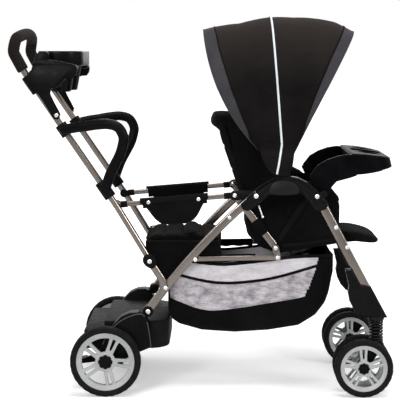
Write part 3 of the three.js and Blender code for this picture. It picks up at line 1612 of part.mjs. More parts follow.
const childArmShares = [
  [-0.12, -0.16],
  [0.08, -0.18],
  [0.26, 0.16],
  [0.4, 0.3],
  [0.82, 0.42],
  [1.0, 0.5],
  [1.0, 0.94],
  [0.72, 0.99],
  [0.42, 0.95],
  [0.12, 0.86],
  [-0.16, 0.72],
  [-0.36, 0.5],
  [-0.42, 0.4],
  [-0.24, 0.1],
];
const childArmOutline = inBox(
  TRAY_PIVOT_X,
  TRAY_PIVOT_Z,
  CHILD_TRAY_REAR_X + 4 * CHILD_TRAY_WALL,
  CHILD_TRAY_TOP_Z,
  childArmShares,
);
const childArm = plate(childArmOutline, CHILD_ARM_Y, childArmOut - GAP, BITE);
const childPinBore = rodY(
  TRAY_PIVOT_X,
  TRAY_PIVOT_Z,
  TRAY_PIN_R + PIN_GAP,
  CHILD_ARM_Y - OVERRUN,
  childArmOut + OVERRUN,
);
const childArmBored = cut(childArm, childPinBore);
const childTray = cut(
  join(cut(childBlock, underside), ...childCups, childArmBored, mirrored(childArmBored)),
  ...childWells,
  snackWell,
);
add("child_tray", childTray, blackPlastic);

// Canopy: three flat bows on one pivot at each side, and the fabric over them

const BOW_FAN = {
  rear: { angle: 118.5, reach: CANOPY_REACH_REAR, slot: 0 },
  middle: { angle: 94.4, reach: CANOPY_REACH_MIDDLE, slot: 1 },
  front: { angle: 63.5, reach: CANOPY_REACH_FRONT, slot: 2 },
};
const REAR_BULGE = 26; // degrees that the rear edge swings back near the pivot
const DOME_SHARE = 0.6; // how square the canopy's arch is

// A place on a canopy arch: the share runs from zero at the left foot to one at the right foot.
function domePoint(angle, reach, halfWidth, share, bulge = 0) {
  const turn = Math.PI * share;
  const c = Math.cos(turn);
  const s = Math.sin(turn);
  const y = halfWidth * Math.sign(c) * Math.abs(c) ** DOME_SHARE;
  const r = reach * s ** DOME_SHARE;
  const a = (angle + bulge * (1 - r / reach)) * DEGREE;
  return at(CANOPY_X + r * Math.cos(a), CANOPY_Z + r * Math.sin(a), y);
}

// The shares where both the fabric and the bows have their stations.
const DOME_STEPS = 18;
const fabricStart = Math.asin((CANOPY_FOOT / CANOPY_REACH_FRONT) ** (1 / DOME_SHARE)) / Math.PI;
const domeStops = [];
for (let j = 0; j <= DOME_STEPS; j++) {
  domeStops.push(fabricStart + (1 - 2 * fabricStart) * (j / DOME_STEPS));
}

function bow({ angle, reach, slot }, bulge = 0) {
  const y1 = bowStackOut - slot * (BOW_THICK + GAP);
  const halfWidth = y1 - BOW_THICK / 2;
  const crown = reach - CANOPY_SKIN - 2 * GAP - BOW_THICK / 2;
  const places = [0, ...domeStops, 1].map((share) =>
    domePoint(angle, crown, halfWidth, share, bulge),
  );
  const last = places.length - 1;
  const rings = places.map((p, i) => {
    const before = places[Math.max(0, i - 1)];
    const after = places[Math.min(last, i + 1)];
    const run = after.clone().sub(before).normalize();
    const spoke = p.clone().sub(at(CANOPY_X, CANOPY_Z)).setY(0);
    if (spoke.length() < BOW_HUB_R) spoke.copy(places[1].clone().sub(at(CANOPY_X, CANOPY_Z)).setY(0));
    const wide = new THREE.Vector3(0, 1, 0).cross(spoke).normalize();
    const thin = run.clone().cross(wide).normalize();
    return [
      [1, 1],
      [-1, 1],
      [-1, -1],
      [1, -1],
    ].map(([a, b]) =>
      p
        .clone()
        .addScaledVector(wide, (a * BOW_WIDE) / 2)
        .addScaledVector(thin, (b * BOW_THICK) / 2),
    );
  });
  const y0 = y1 - BOW_THICK;
  const strip = skinOver(rings);
  const hubs = [
    rodY(CANOPY_X, CANOPY_Z, BOW_HUB_R, y0, y1),
    rodY(CANOPY_X, CANOPY_Z, BOW_HUB_R, -y1, -y0),
  ];
  const bore = rodY(CANOPY_X, CANOPY_Z, BOW_PIN_R + PIN_GAP, -y1 - OVERRUN, y1 + OVERRUN);
  return cut(join(strip, ...hubs), bore);
}
add("canopy_bow_rear", bow(BOW_FAN.rear, REAR_BULGE), blackPlastic);
add("canopy_bow_middle", bow(BOW_FAN.middle), blackPlastic);
add("canopy_bow_front", bow(BOW_FAN.front), blackPlastic);

// The fabric sags between the bows and runs a little past the rear and the front bow.
const BOW_MARGIN = 1.3; // degrees of fabric that lie flat on each side of a bow
const onBow = ({ angle, reach }, turn, bulge) => ({ angle: angle + turn, reach, sag: 0, bulge });
// Rows between two bows: how far along, and the shares of the sag and of the crown.
const between = (a, b, rows, bulge) =>
  rows.map(([share, sag, crown]) => ({
    angle: THREE.MathUtils.lerp(a.angle, b.angle, share),
    reach: THREE.MathUtils.lerp(a.reach, b.reach, share) + crown * CANOPY_CROWN,
    sag,
    bulge: bulge * (1 - share),
  }));
const rearRowShares = [
  [0.27, 0.6, 0],
  [0.52, 1, 0],
  [0.77, 0.5, 0],
];
const frontRowShares = [
  [0.27, 0.3, 0],
  [0.51, 0.3, 0.55],
  [0.76, 0.1, 1],
];
const fabricFan = [
  onBow(BOW_FAN.rear, BOW_MARGIN, REAR_BULGE),
  onBow(BOW_FAN.rear, -BOW_MARGIN, REAR_BULGE),
  ...between(BOW_FAN.rear, BOW_FAN.middle, rearRowShares, REAR_BULGE),
  onBow(BOW_FAN.middle, BOW_MARGIN, 0),
  onBow(BOW_FAN.middle, -BOW_MARGIN, 0),
  ...between(BOW_FAN.middle, BOW_FAN.front, frontRowShares, 0),
  onBow(BOW_FAN.front, BOW_MARGIN, 0),
  onBow(BOW_FAN.front, -BOW_MARGIN, 0),
];
function fabricRow({ angle, reach, sag, bulge }, inward) {
  return domeStops.map((share) => {
    const drop = sag * CANOPY_SAG * Math.sin(Math.PI * share);
    const halfWidth = CANOPY_HALF_WIDTH - inward - drop / 2;
    return domePoint(angle, reach - inward - drop, halfWidth, share, bulge);
  });
}

// A sheet with thickness: an outer and an inner skin over rows of points, and its four edges.
function sheetSolid(outerRows, innerRows) {
  const wide = outerRows[0].length;
  const places = [...outerRows.flat(), ...innerRows.flat()].flatMap((p) => [p.x, p.y, p.z]);
  const inner = outerRows.length * wide;
  const faces = [];
  const square = (a, b, c, d) => faces.push(a, b, c, a, c, d);
  for (let i = 0; i < outerRows.length - 1; i++) {
    const here = i * wide;
    const next = here + wide;
    for (let j = 0; j < wide - 1; j++) {
      square(here + j, here + j + 1, next + j + 1, next + j);
      square(inner + here + j, inner + next + j, inner + next + j + 1, inner + here + j + 1);
    }
    square(here, next, inner + next, inner + here);
    const end = wide - 1;
    square(here + end, inner + here + end, inner + next + end, next + end);
  }
  const last = inner - wide;
  for (let j = 0; j < wide - 1; j++) {
    square(j + 1, j, inner + j, inner + j + 1);
    square(last + j, last + j + 1, inner + last + j + 1, inner + last + j);
  }
  const geometry = new THREE.BufferGeometry();
  geometry.setAttribute("position", new THREE.BufferAttribute(new Float32Array(places), 3));
  geometry.setIndex(faces);
  return geometry;
}
const outerRows = fabricFan.map((row) => fabricRow(row, 0));
const innerRows = fabricFan.map((row) => fabricRow(row, CANOPY_SKIN));
add("canopy_fabric", sheetSolid(outerRows, innerRows), cloth);

// Basket: an open-topped fabric trough under the seat, with hooks under the seat frame's rails

const basketStations = [
  { s: 0.0, low: 0.55, wide: 0.9 },
  { s: 0.04, low: 0.25, wide: 0.96 },
  { s: 0.1, low: 0.1, wide: 1 },
  { s: 0.22, low: 0.03, wide: 1 },
  { s: 0.4, low: 0.0, wide: 1 },
  { s: 0.6, low: 0.03, wide: 1 },
  { s: 0.76, low: 0.1, wide: 1 },
  { s: 0.88, low: 0.26, wide: 0.98 },
  { s: 0.96, low: 0.5, wide: 0.94 },
  { s: 1.0, low: 0.8, wide: 0.9 },
];
const basketSectionShares = [
  [1, 1],
  [1, 0.55],
  [0.98, 0.22],
  [0.9, 0.06],
  [0.7, 0],
];
function basketRing({ s, low, wide }, inset, topZ) {
  const span = BASKET_FRONT_X - BASKET_REAR_X - 2 * inset;
  const x = BASKET_REAR_X + inset + s * span;
  const floor = BASKET_FLOOR_Z + inset + low * (BASKET_TOP_Z - BASKET_FLOOR_Z - inset);
  const side = basketSectionShares.map(([a, b]) =>
    at(x, floor + b * (topZ - floor), a * wide * (BASKET_Y - inset)),
  );
  return [...side, ...side.map((p) => at(p.x, p.z, -p.y)).reverse()];
}
const basketOuter = skinOver(basketStations.map((b) => basketRing(b, 0, BASKET_TOP_Z)));
const basketInner = skinOver(
  basketStations.map((b) => basketRing(b, BASKET_SKIN, BASKET_TOP_Z + OVERRUN)),
);
const hookShares = [0.45, 0.62];
const lowerRailRise = (LOWER_RAIL_END_Z - LOWER_RAIL_Z) / (LOWER_RAIL_END_X - LOWER_RAIL_X);
const basketHooks = hookShares.flatMap((s) => {
  const x = BASKET_REAR_X + s * (BASKET_FRONT_X - BASKET_REAR_X);
  const low = BASKET_TOP_Z - 2 * BASKET_SKIN;
  const high = LOWER_RAIL_Z + (x - LOWER_RAIL_X) * lowerRailRise - lowerHalf - GAP;
  const hook = new THREE.BoxGeometry(
    BASKET_HOOK,
    lowerRailOut - BASKET_Y + BASKET_SKIN,
    high - low,
  ).translate(x, (lowerRailOut + BASKET_Y - BASKET_SKIN) / 2, (low + high) / 2);
  return [hook, mirrored(hook)];
});
add("basket", join(cut(basketOuter, basketInner), ...basketHooks), net);

// The origin goes under the middle of the overall length.
const extent = new THREE.Box3().setFromObject(stroller);
stroller.position.x = -(extent.min.x + extent.max.x) / 2;
console.log("frame shift along X " + stroller.position.x.toFixed(3) + " mm");

export default stroller;
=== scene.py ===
"""Sit and stand stroller: materials, soft goods, fine shapes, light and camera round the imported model."""
import json
import math

import bmesh
import bpy
from mathutils import Matrix, Vector, noise

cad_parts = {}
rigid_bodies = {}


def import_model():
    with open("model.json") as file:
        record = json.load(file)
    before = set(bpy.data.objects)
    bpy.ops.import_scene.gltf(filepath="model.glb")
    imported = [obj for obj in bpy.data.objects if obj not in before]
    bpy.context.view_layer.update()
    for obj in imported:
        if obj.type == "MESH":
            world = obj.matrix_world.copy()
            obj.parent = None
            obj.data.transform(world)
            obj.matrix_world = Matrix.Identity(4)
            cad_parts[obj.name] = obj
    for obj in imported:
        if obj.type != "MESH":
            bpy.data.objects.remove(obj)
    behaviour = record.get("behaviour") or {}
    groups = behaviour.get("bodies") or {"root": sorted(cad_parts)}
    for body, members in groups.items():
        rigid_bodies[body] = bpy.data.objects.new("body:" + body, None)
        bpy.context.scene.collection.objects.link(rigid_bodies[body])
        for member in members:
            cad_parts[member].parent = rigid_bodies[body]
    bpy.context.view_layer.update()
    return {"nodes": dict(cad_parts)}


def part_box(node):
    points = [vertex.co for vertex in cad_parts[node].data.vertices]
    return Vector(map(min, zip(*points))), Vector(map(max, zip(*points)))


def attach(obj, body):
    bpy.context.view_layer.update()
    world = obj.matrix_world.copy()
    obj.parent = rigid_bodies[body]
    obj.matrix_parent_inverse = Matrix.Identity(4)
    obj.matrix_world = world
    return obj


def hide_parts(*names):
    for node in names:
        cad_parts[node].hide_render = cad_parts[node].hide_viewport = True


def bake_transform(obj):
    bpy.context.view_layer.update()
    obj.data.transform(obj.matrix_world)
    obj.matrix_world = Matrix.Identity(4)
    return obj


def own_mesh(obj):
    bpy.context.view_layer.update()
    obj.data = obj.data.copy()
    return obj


for leftover in list(bpy.data.objects):
    bpy.data.objects.remove(leftover, do_unlink=True)
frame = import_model()

MM = 0.001
SIDES = (("left", 1), ("right", -1))
FORWARD, LEFT, UP = Vector((1, 0, 0)), Vector((0, 1, 0)), Vector((0, 0, 1))

# Pins, feet and axles: X forward and Z up in millimetres, as in the part's source.
REAR_AXLE, FRONT_AXLE = (-311, 98), (402, 81)
HANDLE_PIN, RAIL_REAR, RAIL_FRONT = (-190, 372), (-283, 525), (46, 552)
LEG_FOOT, HUB_PIN, CROSS_TUBE = (-195, 231), (104, 555), (352, 414)
GRIP_FOOT, BACK_PIN, SEAT_PIN = (-537, 898), (130, 434), (160, 405)
CASTER_X = 438
# Distances of the tubes from the middle plane.
HANDLE_Y, LEG_Y, LOWER_Y, FRONT_Y, RAIL_Y, LINK_Y = 184, 186, 201.3, 214, 168.7, 156.4

_low, _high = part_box("rear_tyre_left")
SHIFT = (_low.x + _high.x) / 2 - REAR_AXLE[0] * MM


def at(x, z, y=0.0):
    """A place in metres from millimetres forward, up and to the left."""
    return Vector((x * MM + SHIFT, y * MM, z * MM))


def line_at(places, y=0.0):
    return [at(x, z, y) for x, z in places]


def add_object(name, data):
    made = bpy.data.objects.new(name, data)
    bpy.context.collection.objects.link(made)
    return made


# Camera

CAMERA_PLACE, CAMERA_DIP, CAMERA_TURN = (0.0455, -4.1974, 0.9536), 0.1061, 0.0126
LENS, SENSOR = 127.75, 36


def add_camera():
    data = bpy.data.cameras.new("view")
    data.sensor_fit = "VERTICAL"
    data.sensor_height = SENSOR
    data.lens = LENS
    data.clip_end = 100
    camera = add_object("view", data)
    camera.location = CAMERA_PLACE
    camera.rotation_euler = (math.pi / 2 - CAMERA_DIP, 0, CAMERA_TURN)
    bpy.context.scene.camera = camera


# Materials

class Nodes:
    """Adds and links the nodes of a material or a world."""

    def __init__(self, owner):
        owner.use_nodes = True
        self.nodes = owner.node_tree.nodes
        self.links = owner.node_tree.links

    def feed(self, socket, value):
        """Gives a socket a value, or the output of another node."""
        if isinstance(value, bpy.types.NodeSocket):
            self.links.new(value, socket)
        elif socket.type == "RGBA":
            socket.default_value = (*value, 1)
        else:
            socket.default_value = value

    def add(self, kind, inputs, **settings):
        made = self.nodes.new(kind)
        for key, value in settings.items():
            setattr(made, key, value)
        for key, value in inputs.items():
            self.feed(made.inputs[key], value)
        return made

    def math(self, operation, *values):
        return self.add("ShaderNodeMath", dict(enumerate(values)), operation=operation).outputs[0]

    def spread(self, source, low, high, from_low=0.3, from_high=0.7, **settings):
        ends = {"Value": source, "From Min": from_low, "From Max": from_high, "To Min": low, "To Max": high}
        return self.add("ShaderNodeMapRange", ends, **settings).outputs["Result"]


class Look(Nodes):
    """A node material that is built up from a Principled shader."""

    def __init__(self, name, roughness, metallic=0.0, specular=0.5, sheen=0.0, sheen_color=(1, 1, 1)):
        self.material = bpy.data.materials.new(name)
        super().__init__(self.material)
        self.place = self.add("ShaderNodeTexCoord", {}).outputs["Object"]
        self.set("Roughness", roughness)
        self.set("Metallic", metallic)
        self.set("Specular IOR Level", specular)
        self.set("Sheen Weight", sheen)
        self.set("Sheen Tint", sheen_color)

    def set(self, name, value):
        self.feed(self.nodes["Principled BSDF"].inputs[name], value)

    def mapped(self, **values):
        return self.add("ShaderNodeMapping", {"Vector": self.place, **values}).outputs[0]

    def noise(self, scale, detail=3.0, roughness=0.55, stretch=None):
        source = self.mapped(Scale=stretch) if stretch else self.place
        inputs = {"Vector": source, "Scale": scale, "Detail": detail, "Roughness": roughness}
        return self.add("ShaderNodeTexNoise", inputs).outputs["Fac"]

    def axes(self, vector):
        return self.add("ShaderNodeSeparateXYZ", {0: vector}).outputs

    def lattice(self, pitch, turn=0.0):
        """Sines along the three axes, multiplied in pairs: a weave on any face."""
        rate = 2 * math.pi / pitch
        turned_place = self.mapped(Rotation=(turn, turn, turn), Scale=(rate, rate, rate))
        waves = [self.math("SINE", axis) for axis in self.axes(turned_place)]
        pairs = [self.math("MULTIPLY", waves[k], waves[(k + 1) % 3]) for k in range(3)]
        return self.math("ADD", self.math("ADD", pairs[0], pairs[1]), pairs[2])

    def mix(self, share, first, second):
        made = self.add("ShaderNodeMix", {"Factor": share}, data_type="RGBA")
        for socket, value in zip([s for s in made.inputs if s.type == "RGBA"], (first, second)):
            self.feed(socket, value)
        return [s for s in made.outputs if s.type == "RGBA"][0]

    def shade(self, source, dark, light, low=0.3, high=0.7):
        self.set("Base Color", self.mix(self.spread(source, 0, 1, low, high), dark, light))

    def bump(self, *layers):
        """Layers of height, each with a strength and a depth in metres."""
        below = {}
        for height, strength, depth in layers:
            inputs = {"Height": height, "Strength": strength, "Distance": depth, **below}
            below = {"Normal": self.add("ShaderNodeBump", inputs).outputs[0]}
        self.set("Normal", below["Normal"])


def metal_look(name, dark, light, roughness, stretch):
    look = Look(name, roughness, metallic=1.0)
    look.shade(look.noise(6, 2), dark, light)
    look.set("Roughness", look.spread(look.noise(16, 3, 0.5, stretch), roughness - 0.04, roughness + 0.05))
    look.bump((look.noise(900, 2), 0.05, 0.0001))
    return look.material


def plastic_look(name, dark, light, roughness, specular):
    look = Look(name, roughness, specular=specular)
    look.shade(look.noise(22, 4), dark, light)
    look.set("Roughness", look.spread(look.noise(60, 3), roughness - 0.06, roughness + 0.08))
    look.bump((look.noise(1400, 2), 0.22, 0.0002), (look.noise(9, 2), 0.06, 0.002))
    return look.material


def cloth_look(name, dark, light, pitch, depth, sheen, sheen_color=(0.5, 0.42, 0.38), specular=0.05,
               painted_top_sheen=None):
    """Woven cloth; given two heights and a colour, it takes that lighter colour between them, a painted sheen where
    light falls on its top.
    """
    look = Look(name, 0.92, specular=specular, sheen=sheen, sheen_color=sheen_color)
    look.set("Sheen Roughness", 0.5)
    weave = look.lattice(pitch)
    fibres = look.noise(420, 4, 0.65)
    worn = look.math("ADD", look.math("MULTIPLY", look.noise(11, 3), 0.6), look.math("MULTIPLY", fibres, 0.4))
    color = look.mix(look.spread(worn, 0, 1, 0.36, 0.66), dark, light)
    if painted_top_sheen:
        # Painted sheen: the colour grows lighter with height, as where the overhead light falls.
        low, high, painted_sheen_tone = painted_top_sheen
        rise = look.math("ADD", look.axes(look.place)[2], look.math("MULTIPLY", look.noise(5, 3), 0.12))
        color = look.mix(look.spread(rise, 0, 1, low, high), color, painted_sheen_tone)
    look.set("Base Color", color)
    look.bump((weave, 0.5, depth), (fibres, 0.3, 0.0005), (look.noise(28, 3), 0.25, 0.0022))
    return look.material


def net_look(name, dark, light):
    """Netting: threads round small holes, which are cut by alpha."""
    look = Look(name, 0.8, specular=0.2, sheen=0.05, sheen_color=(0.9, 0.85, 0.9))
    pitch, turn, openness = 0.0034, 0.5, 0.6
    weave = look.lattice(pitch, turn)
    streaks = look.noise(26, 5, 0.7, (1.0, 1.0, 2.2))
    look.shade(streaks, dark, light, 0.34, 0.62)
    look.set("Alpha", look.spread(weave, 1.0, 0.15, openness, openness + 0.35))
    look.bump((weave, 0.5, 0.0006), (streaks, 0.3, 0.002))
    return look.material


def foam_look():
    look = Look("foam_grip", 0.95, specular=0.06, sheen=0.06, sheen_color=(0.45, 0.38, 0.34))
    pores = look.noise(700, 4, 0.7)
    look.shade(pores, (0.0060, 0.0050, 0.0046), (0.0150, 0.0122, 0.0108))
    look.bump((pores, 0.5, 0.0007))
    return look.material


def tyre_look():
    look = Look("tyre_rubber", 0.6, specular=0.07)
    look.shade(look.noise(46, 5, 0.65), (0.0040, 0.0040, 0.0044), (0.0125, 0.0120, 0.0120), 0.4, 0.75)
    look.bump((look.noise(900, 3), 0.3, 0.0003))
    return look.material


def webbing_look(name, dark, light):
    look = Look(name, 0.85, specular=0.08, sheen=0.03, sheen_color=(0.5, 0.45, 0.45))
    ribs = look.lattice(0.0022)
    look.shade(ribs, dark, light, -1, 1)
    look.bump((ribs, 0.5, 0.0004))
    return look.material


CHAMPAGNE = metal_look("champagne_metal", (0.175, 0.151, 0.134), (0.225, 0.197, 0.176), 0.2, (1, 1, 1))
STEEL = metal_look("bright_metal", (0.60, 0.60, 0.61), (0.76, 0.76, 0.77), 0.22, (4, 4, 1))
SPRING_STEEL = metal_look("spring_wire", (0.010, 0.010, 0.011), (0.024, 0.024, 0.026), 0.35, (1, 1, 4))
# The light grey edge look stands in for the highlight lines along the rear housing: a painted highlight.
BLACK, GLOSSY, GREY_STEP, PAINTED_HIGHLIGHT_GREY, SMOOTH_TRAY, ARCH_CAP = PLASTICS = [
    plastic_look(*values) for values in (
        ("black_plastic", (0.0020, 0.0020, 0.0023), (0.0044, 0.0044, 0.0049), 0.36, 0.05),
        ("black_gloss_plastic", (0.0022, 0.0022, 0.0026), (0.0048, 0.0048, 0.0056), 0.26, 0.08),
        ("grey_plastic", (0.0040, 0.0040, 0.0044), (0.0080, 0.0080, 0.0088), 0.55, 0.05),
        ("painted_highlight_plastic", (0.035, 0.035, 0.037), (0.055, 0.055, 0.058), 0.4, 0.4),
        ("tray_plastic", (0.0022, 0.0022, 0.0026), (0.0048, 0.0048, 0.0056), 0.34, 0.006),
        ("arch_cap_plastic", (0.0030, 0.0030, 0.0034), (0.0060, 0.0060, 0.0066), 0.36, 0.16),
    )
]
RIM = plastic_look("rim_plastic", (0.33, 0.335, 0.34), (0.40, 0.405, 0.41), 0.42, 0.3)
TYRE = tyre_look()
FOAM = foam_look()
CLOTH = cloth_look("black_fabric", (0.0020, 0.0020, 0.0022), (0.0062, 0.0058, 0.0058), 0.0016, 0.0004, 0.03)
# The canopy's top is painted lighter and browner: a painted sheen of the overhead light.
CANOPY = cloth_look("canopy_black_fabric", (0.0026, 0.0025, 0.0026), (0.0080, 0.0072, 0.0070), 0.0018, 0.0004,
                    0.055, (0.62, 0.5, 0.44), painted_top_sheen=(0.90, 1.16, (0.024, 0.0195, 0.0175)))
BAND = cloth_look("canopy_grey_fabric", (0.028, 0.0268, 0.0305), (0.050, 0.0475, 0.053), 0.0018, 0.0004, 0.06,
                  (0.8, 0.75, 0.78))
PIPING = cloth_look("white_piping", (0.60, 0.64, 0.68), (0.74, 0.77, 0.80), 0.0012, 0.0002, 0.05, (1, 1, 1), 0.3)
BINDING = webbing_look("binding", (0.0022, 0.0022, 0.0025), (0.0060, 0.0056, 0.0060))
WEBBING = webbing_look("webbing", (0.0026, 0.0026, 0.0030), (0.0075, 0.0070, 0.0075))
NET_LIGHT = net_look("mesh_light", (0.56, 0.53, 0.565), (0.76, 0.73, 0.76))
NET_DARK = net_look("mesh_dark", (0.20, 0.18, 0.20), (0.62, 0.59, 0.62))


# Mesh code: a part is a pair of points and faces, and a piece is made from a list of parts.

def finish_mesh(mesh, sharp, recalc=True, weld=False):
    work = bmesh.new()
    work.from_mesh(mesh)
    if weld:
        bmesh.ops.remove_doubles(work, verts=work.verts, dist=1e-6)
    if recalc:
        bmesh.ops.recalc_face_normals(work, faces=work.faces)
    work.to_mesh(mesh)
    work.free()
    mesh.polygons.foreach_set("use_smooth", [True] * len(mesh.polygons))
    mesh.set_sharp_from_angle(angle=math.radians(sharp))
    mesh.update()


def dress(thing, body, replaces):
    """Says what a piece rides on and which nodes it stands for."""
    if body:
        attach(thing, body)
    if replaces:
        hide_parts(*replaces)


def piece(name, parts, looks, body, replaces=(), sharp=60, weld=False, mirror=False, face_looks=None):
    points, faces = [], []
    for more, more_faces in parts:
        base = len(points)
        points += [(p[0], -p[1] if mirror else p[1], p[2]) for p in more]
        faces += [[base + k for k in (reversed(face) if mirror else face)] for face in more_faces]
    mesh = bpy.data.meshes.new(name)
    mesh.from_pydata(points, [], faces)
    looks = looks if isinstance(looks, list) else [looks]
    for look in looks:
        mesh.materials.append(look)
    if face_looks:
        mesh.polygons.foreach_set("material_index", face_looks)
    finish_mesh(mesh, sharp, weld=weld)
    made = add_object(name, mesh)
    dress(made, body, replaces)
    return made


def bake_modifiers(thing):
    graph = bpy.context.evaluated_depsgraph_get()
    baked = bpy.data.meshes.new_from_object(thing.evaluated_get(graph))
    old = thing.data
    thing.modifiers.clear()
    thing.data = baked
    baked.name = old.name
    bpy.data.meshes.remove(old)


def modify(thing, kind, **settings):
    """Adds a modifier and bakes it into the mesh."""
    made = thing.modifiers.new("work", kind)
    for key, value in settings.items():
        setattr(made, key, value)
    bake_modifiers(thing)


def thicken(thing, thickness, offset=-1.0):
    modify(thing, "SOLIDIFY", thickness=thickness * MM, offset=offset, use_even_offset=False)


def soften(thing, width, angle=35):
    modify(thing, "BEVEL", width=width * MM, segments=2, limit_method="ANGLE", angle_limit=math.radians(angle),
           use_clamp_overlap=True, harden_normals=False)


def sheet(name, parts, looks, body, replaces, thickness, width, held, rests_on, **more):
    """Cloth, thickened about its middle; its flat width in metres is not used."""
    made = piece(name, parts, looks, body, replaces, **more)
    thicken(made, thickness, 0)
    finish_mesh(made.data, 60)
    return made


def grid_faces(rows, columns, closed=False):
    faces = []
    for i in range(rows - 1):
        for j in range(columns if closed else columns - 1):
            k = (j + 1) % columns
            faces.append((i * columns + j, i * columns + k, (i + 1) * columns + k, (i + 1) * columns + j))
    return faces


def grid(rows, closed=False):
    """A part from rows of points; one whose rows are closed rings is capped at both ends."""
    count = len(rows[0])
    faces = grid_faces(len(rows), count, closed)
    if closed:
        faces += [tuple(range(count)), tuple(range((len(rows) - 1) * count, len(rows) * count))]
    return [p for row in rows for p in row], faces


def lerp(a, b, t):
    return a + (b - a) * t


def clamp(value):
    return min(1.0, max(0.0, value))


def smoothstep(t):
    return t * t * (3 - 2 * t)


def straight(pairs, x):
    """A value read from a table of pairs, with straight runs between them."""
    if x <= pairs[0][0]:
        return pairs[0][1]
    for (x0, y0), (x1, y1) in zip(pairs, pairs[1:]):
        if x <= x1:
            return lerp(y0, y1, (x - x0) / max(x1 - x0, 1e-9))
    return pairs[-1][1]


def table(pairs, x):
    """A value read from a table of pairs, with a smooth run between them."""
    if x <= pairs[0][0]:
        return pairs[0][1]
    if x >= pairs[-1][0]:
        return pairs[-1][1]
    i = next(k for k in range(len(pairs) - 1) if pairs[k][0] <= x <= pairs[k + 1][0])
    (x0, y0), (x1, y1) = pairs[i], pairs[i + 1]
    before = pairs[i - 1] if i else (2 * x0 - x1, 2 * y0 - y1)
    after = pairs[i + 2] if i + 2 < len(pairs) else (2 * x1 - x0, 2 * y1 - y0)
    m0 = (y1 - before[1]) / (x1 - before[0]) * (x1 - x0)
    m1 = (after[1] - y0) / (after[0] - x0) * (x1 - x0)
    t = (x - x0) / (x1 - x0)
    rise = 3 * t**2 - 2 * t**3
    return (1 - rise) * y0 + (t**3 - 2 * t**2 + t) * m0 + rise * y1 + (t**3 - t**2) * m1


def curve(p0, p1, p2, p3, steps):
    """Points on a smooth run from p1 up to p2."""
    bend, twist = 2 * p0 - 5 * p1 + 4 * p2 - p3, 3 * p1 - p0 - 3 * p2 + p3
    shares = [k / steps for k in range(steps)]
    return [0.5 * (2 * p1 + (p2 - p0) * t + bend * t * t + twist * t**3) for t in shares]


def smooth_path(points, steps=6):
    """A smooth run through points."""
    out = []
    last = len(points) - 1
    for i in range(last):
        out += curve(points[max(0, i - 1)], points[i], points[i + 1], points[min(last, i + 2)], steps)
    return out + [points[-1].copy()]


def outline_of(points, steps=5):
    """A smooth closed outline through points, in millimetres."""
    out = []
    for i in range(len(points)):
        out += curve(*(Vector(points[(i + k) % len(points)]) for k in (-1, 0, 1, 2)), steps)
    return [(p.x, p.y) for p in out]


def bent_path(corners, reaches, steps):
    """Straight runs joined by round bends."""
    out = [corners[0].copy()]
    for before, here, after, reach in zip(corners, corners[1:], corners[2:], reaches):
        enter = here + (before - here).normalized() * (reach * MM)
        leave = here + (after - here).normalized() * (reach * MM)
        for k in range(steps + 1):
            t = k / steps
            out.append(enter * (1 - t) ** 2 + here * 2 * t * (1 - t) + leave * t * t)
    return out + [corners[-1].copy()]


def dense_path(points, step):
    """Points along straight runs, no further apart than about a step in metres."""
    out = []
    for a, b in zip(points, points[1:]):
        count = max(1, int((b - a).length / step))
        out += [a.lerp(b, k / count) for k in range(count)]
    return out + [points[-1]]


def around(count, offset=0.0):
    """Cosines and sines of even steps round a circle."""
    angles = [2 * math.pi * (k + offset) / count for k in range(count)]
    return [(math.cos(angle), math.sin(angle)) for angle in angles]


def oval(a, b, sides=28, power=1.0):
    return [(a * math.copysign(abs(c) ** power, c) * MM, b * math.copysign(abs(s) ** power, s) * MM)
            for c, s in around(sides, 0.5)]


def sweep(points, section, across=LEFT, closed=False, scale=None):
    """A section carried along points: its first direction starts along the given one."""
    u = across.copy()
    count = len(points)
    rings = []
    for i, p in enumerate(points):
        if closed:
            run = points[(i + 1) % count] - points[i - 1]
        else:
            run = points[min(count - 1, i + 1)] - points[max(0, i - 1)]
        run.normalize()
        u = (u - run * u.dot(run)).normalized()
        v = run.cross(u)
        size = scale[i] if scale else 1.0
        rings.append([p + u * (a * size) + v * (b * size) for a, b in section])
    if not closed:
        return grid(rings, closed=True)
    wide = len(section)
    last = (count - 1) * wide
    faces = grid_faces(count, wide, closed=True)
    faces += [(last + j, last + (j + 1) % wide, (j + 1) % wide, j) for j in range(wide)]
    return [p for ring in rings for p in ring], faces


STRAP_SECTION = ((1, 0.5), (0.94, 1), (-0.94, 1), (-1, 0.5), (-1, -0.5), (-0.94, -1), (0.94, -1), (1, -0.5))


def ribbon(points, width, thick, across):
    """A flat strap along points, with its width along a direction."""
    rings = []
    for i, p in enumerate(points):
        run = (points[min(len(points) - 1, i + 1)] - points[max(0, i - 1)]).normalized()
        side = (across - run * across.dot(run)).normalized()
        up = run.cross(side)
        rings.append([p + side * (a * width * MM / 2) + up * (b * thick * MM / 2) for a, b in STRAP_SECTION])
    return grid(rings, closed=True)


def ring_faces(wide, steps, first=0, closed=True):
    """The faces between the meridians of a turned part."""
    faces = []
    for k in range(steps):
        here, there = first + k * wide, first + (k + 1) % steps * wide
        for j in range(wide if closed else wide - 1):
            n = (j + 1) % wide
            faces.append((here + j, here + n, there + n, there + j))
    return faces


def turned(profile, centre, axis, steps, wave=None):
    """A closed profile of radius and height, in millimetres, turned round an axis along Y."""
    v = axis.cross(FORWARD)
    flat = []
    for k, (c, s) in enumerate(around(steps)):
        out = FORWARD * c + v * s
        for index, (r, h) in enumerate(profile):
            grown = r + (wave(index, k) if wave else 0)
            flat.append(centre + out * (grown * MM) + axis * (h * MM))
    return flat, ring_faces(len(profile), steps)


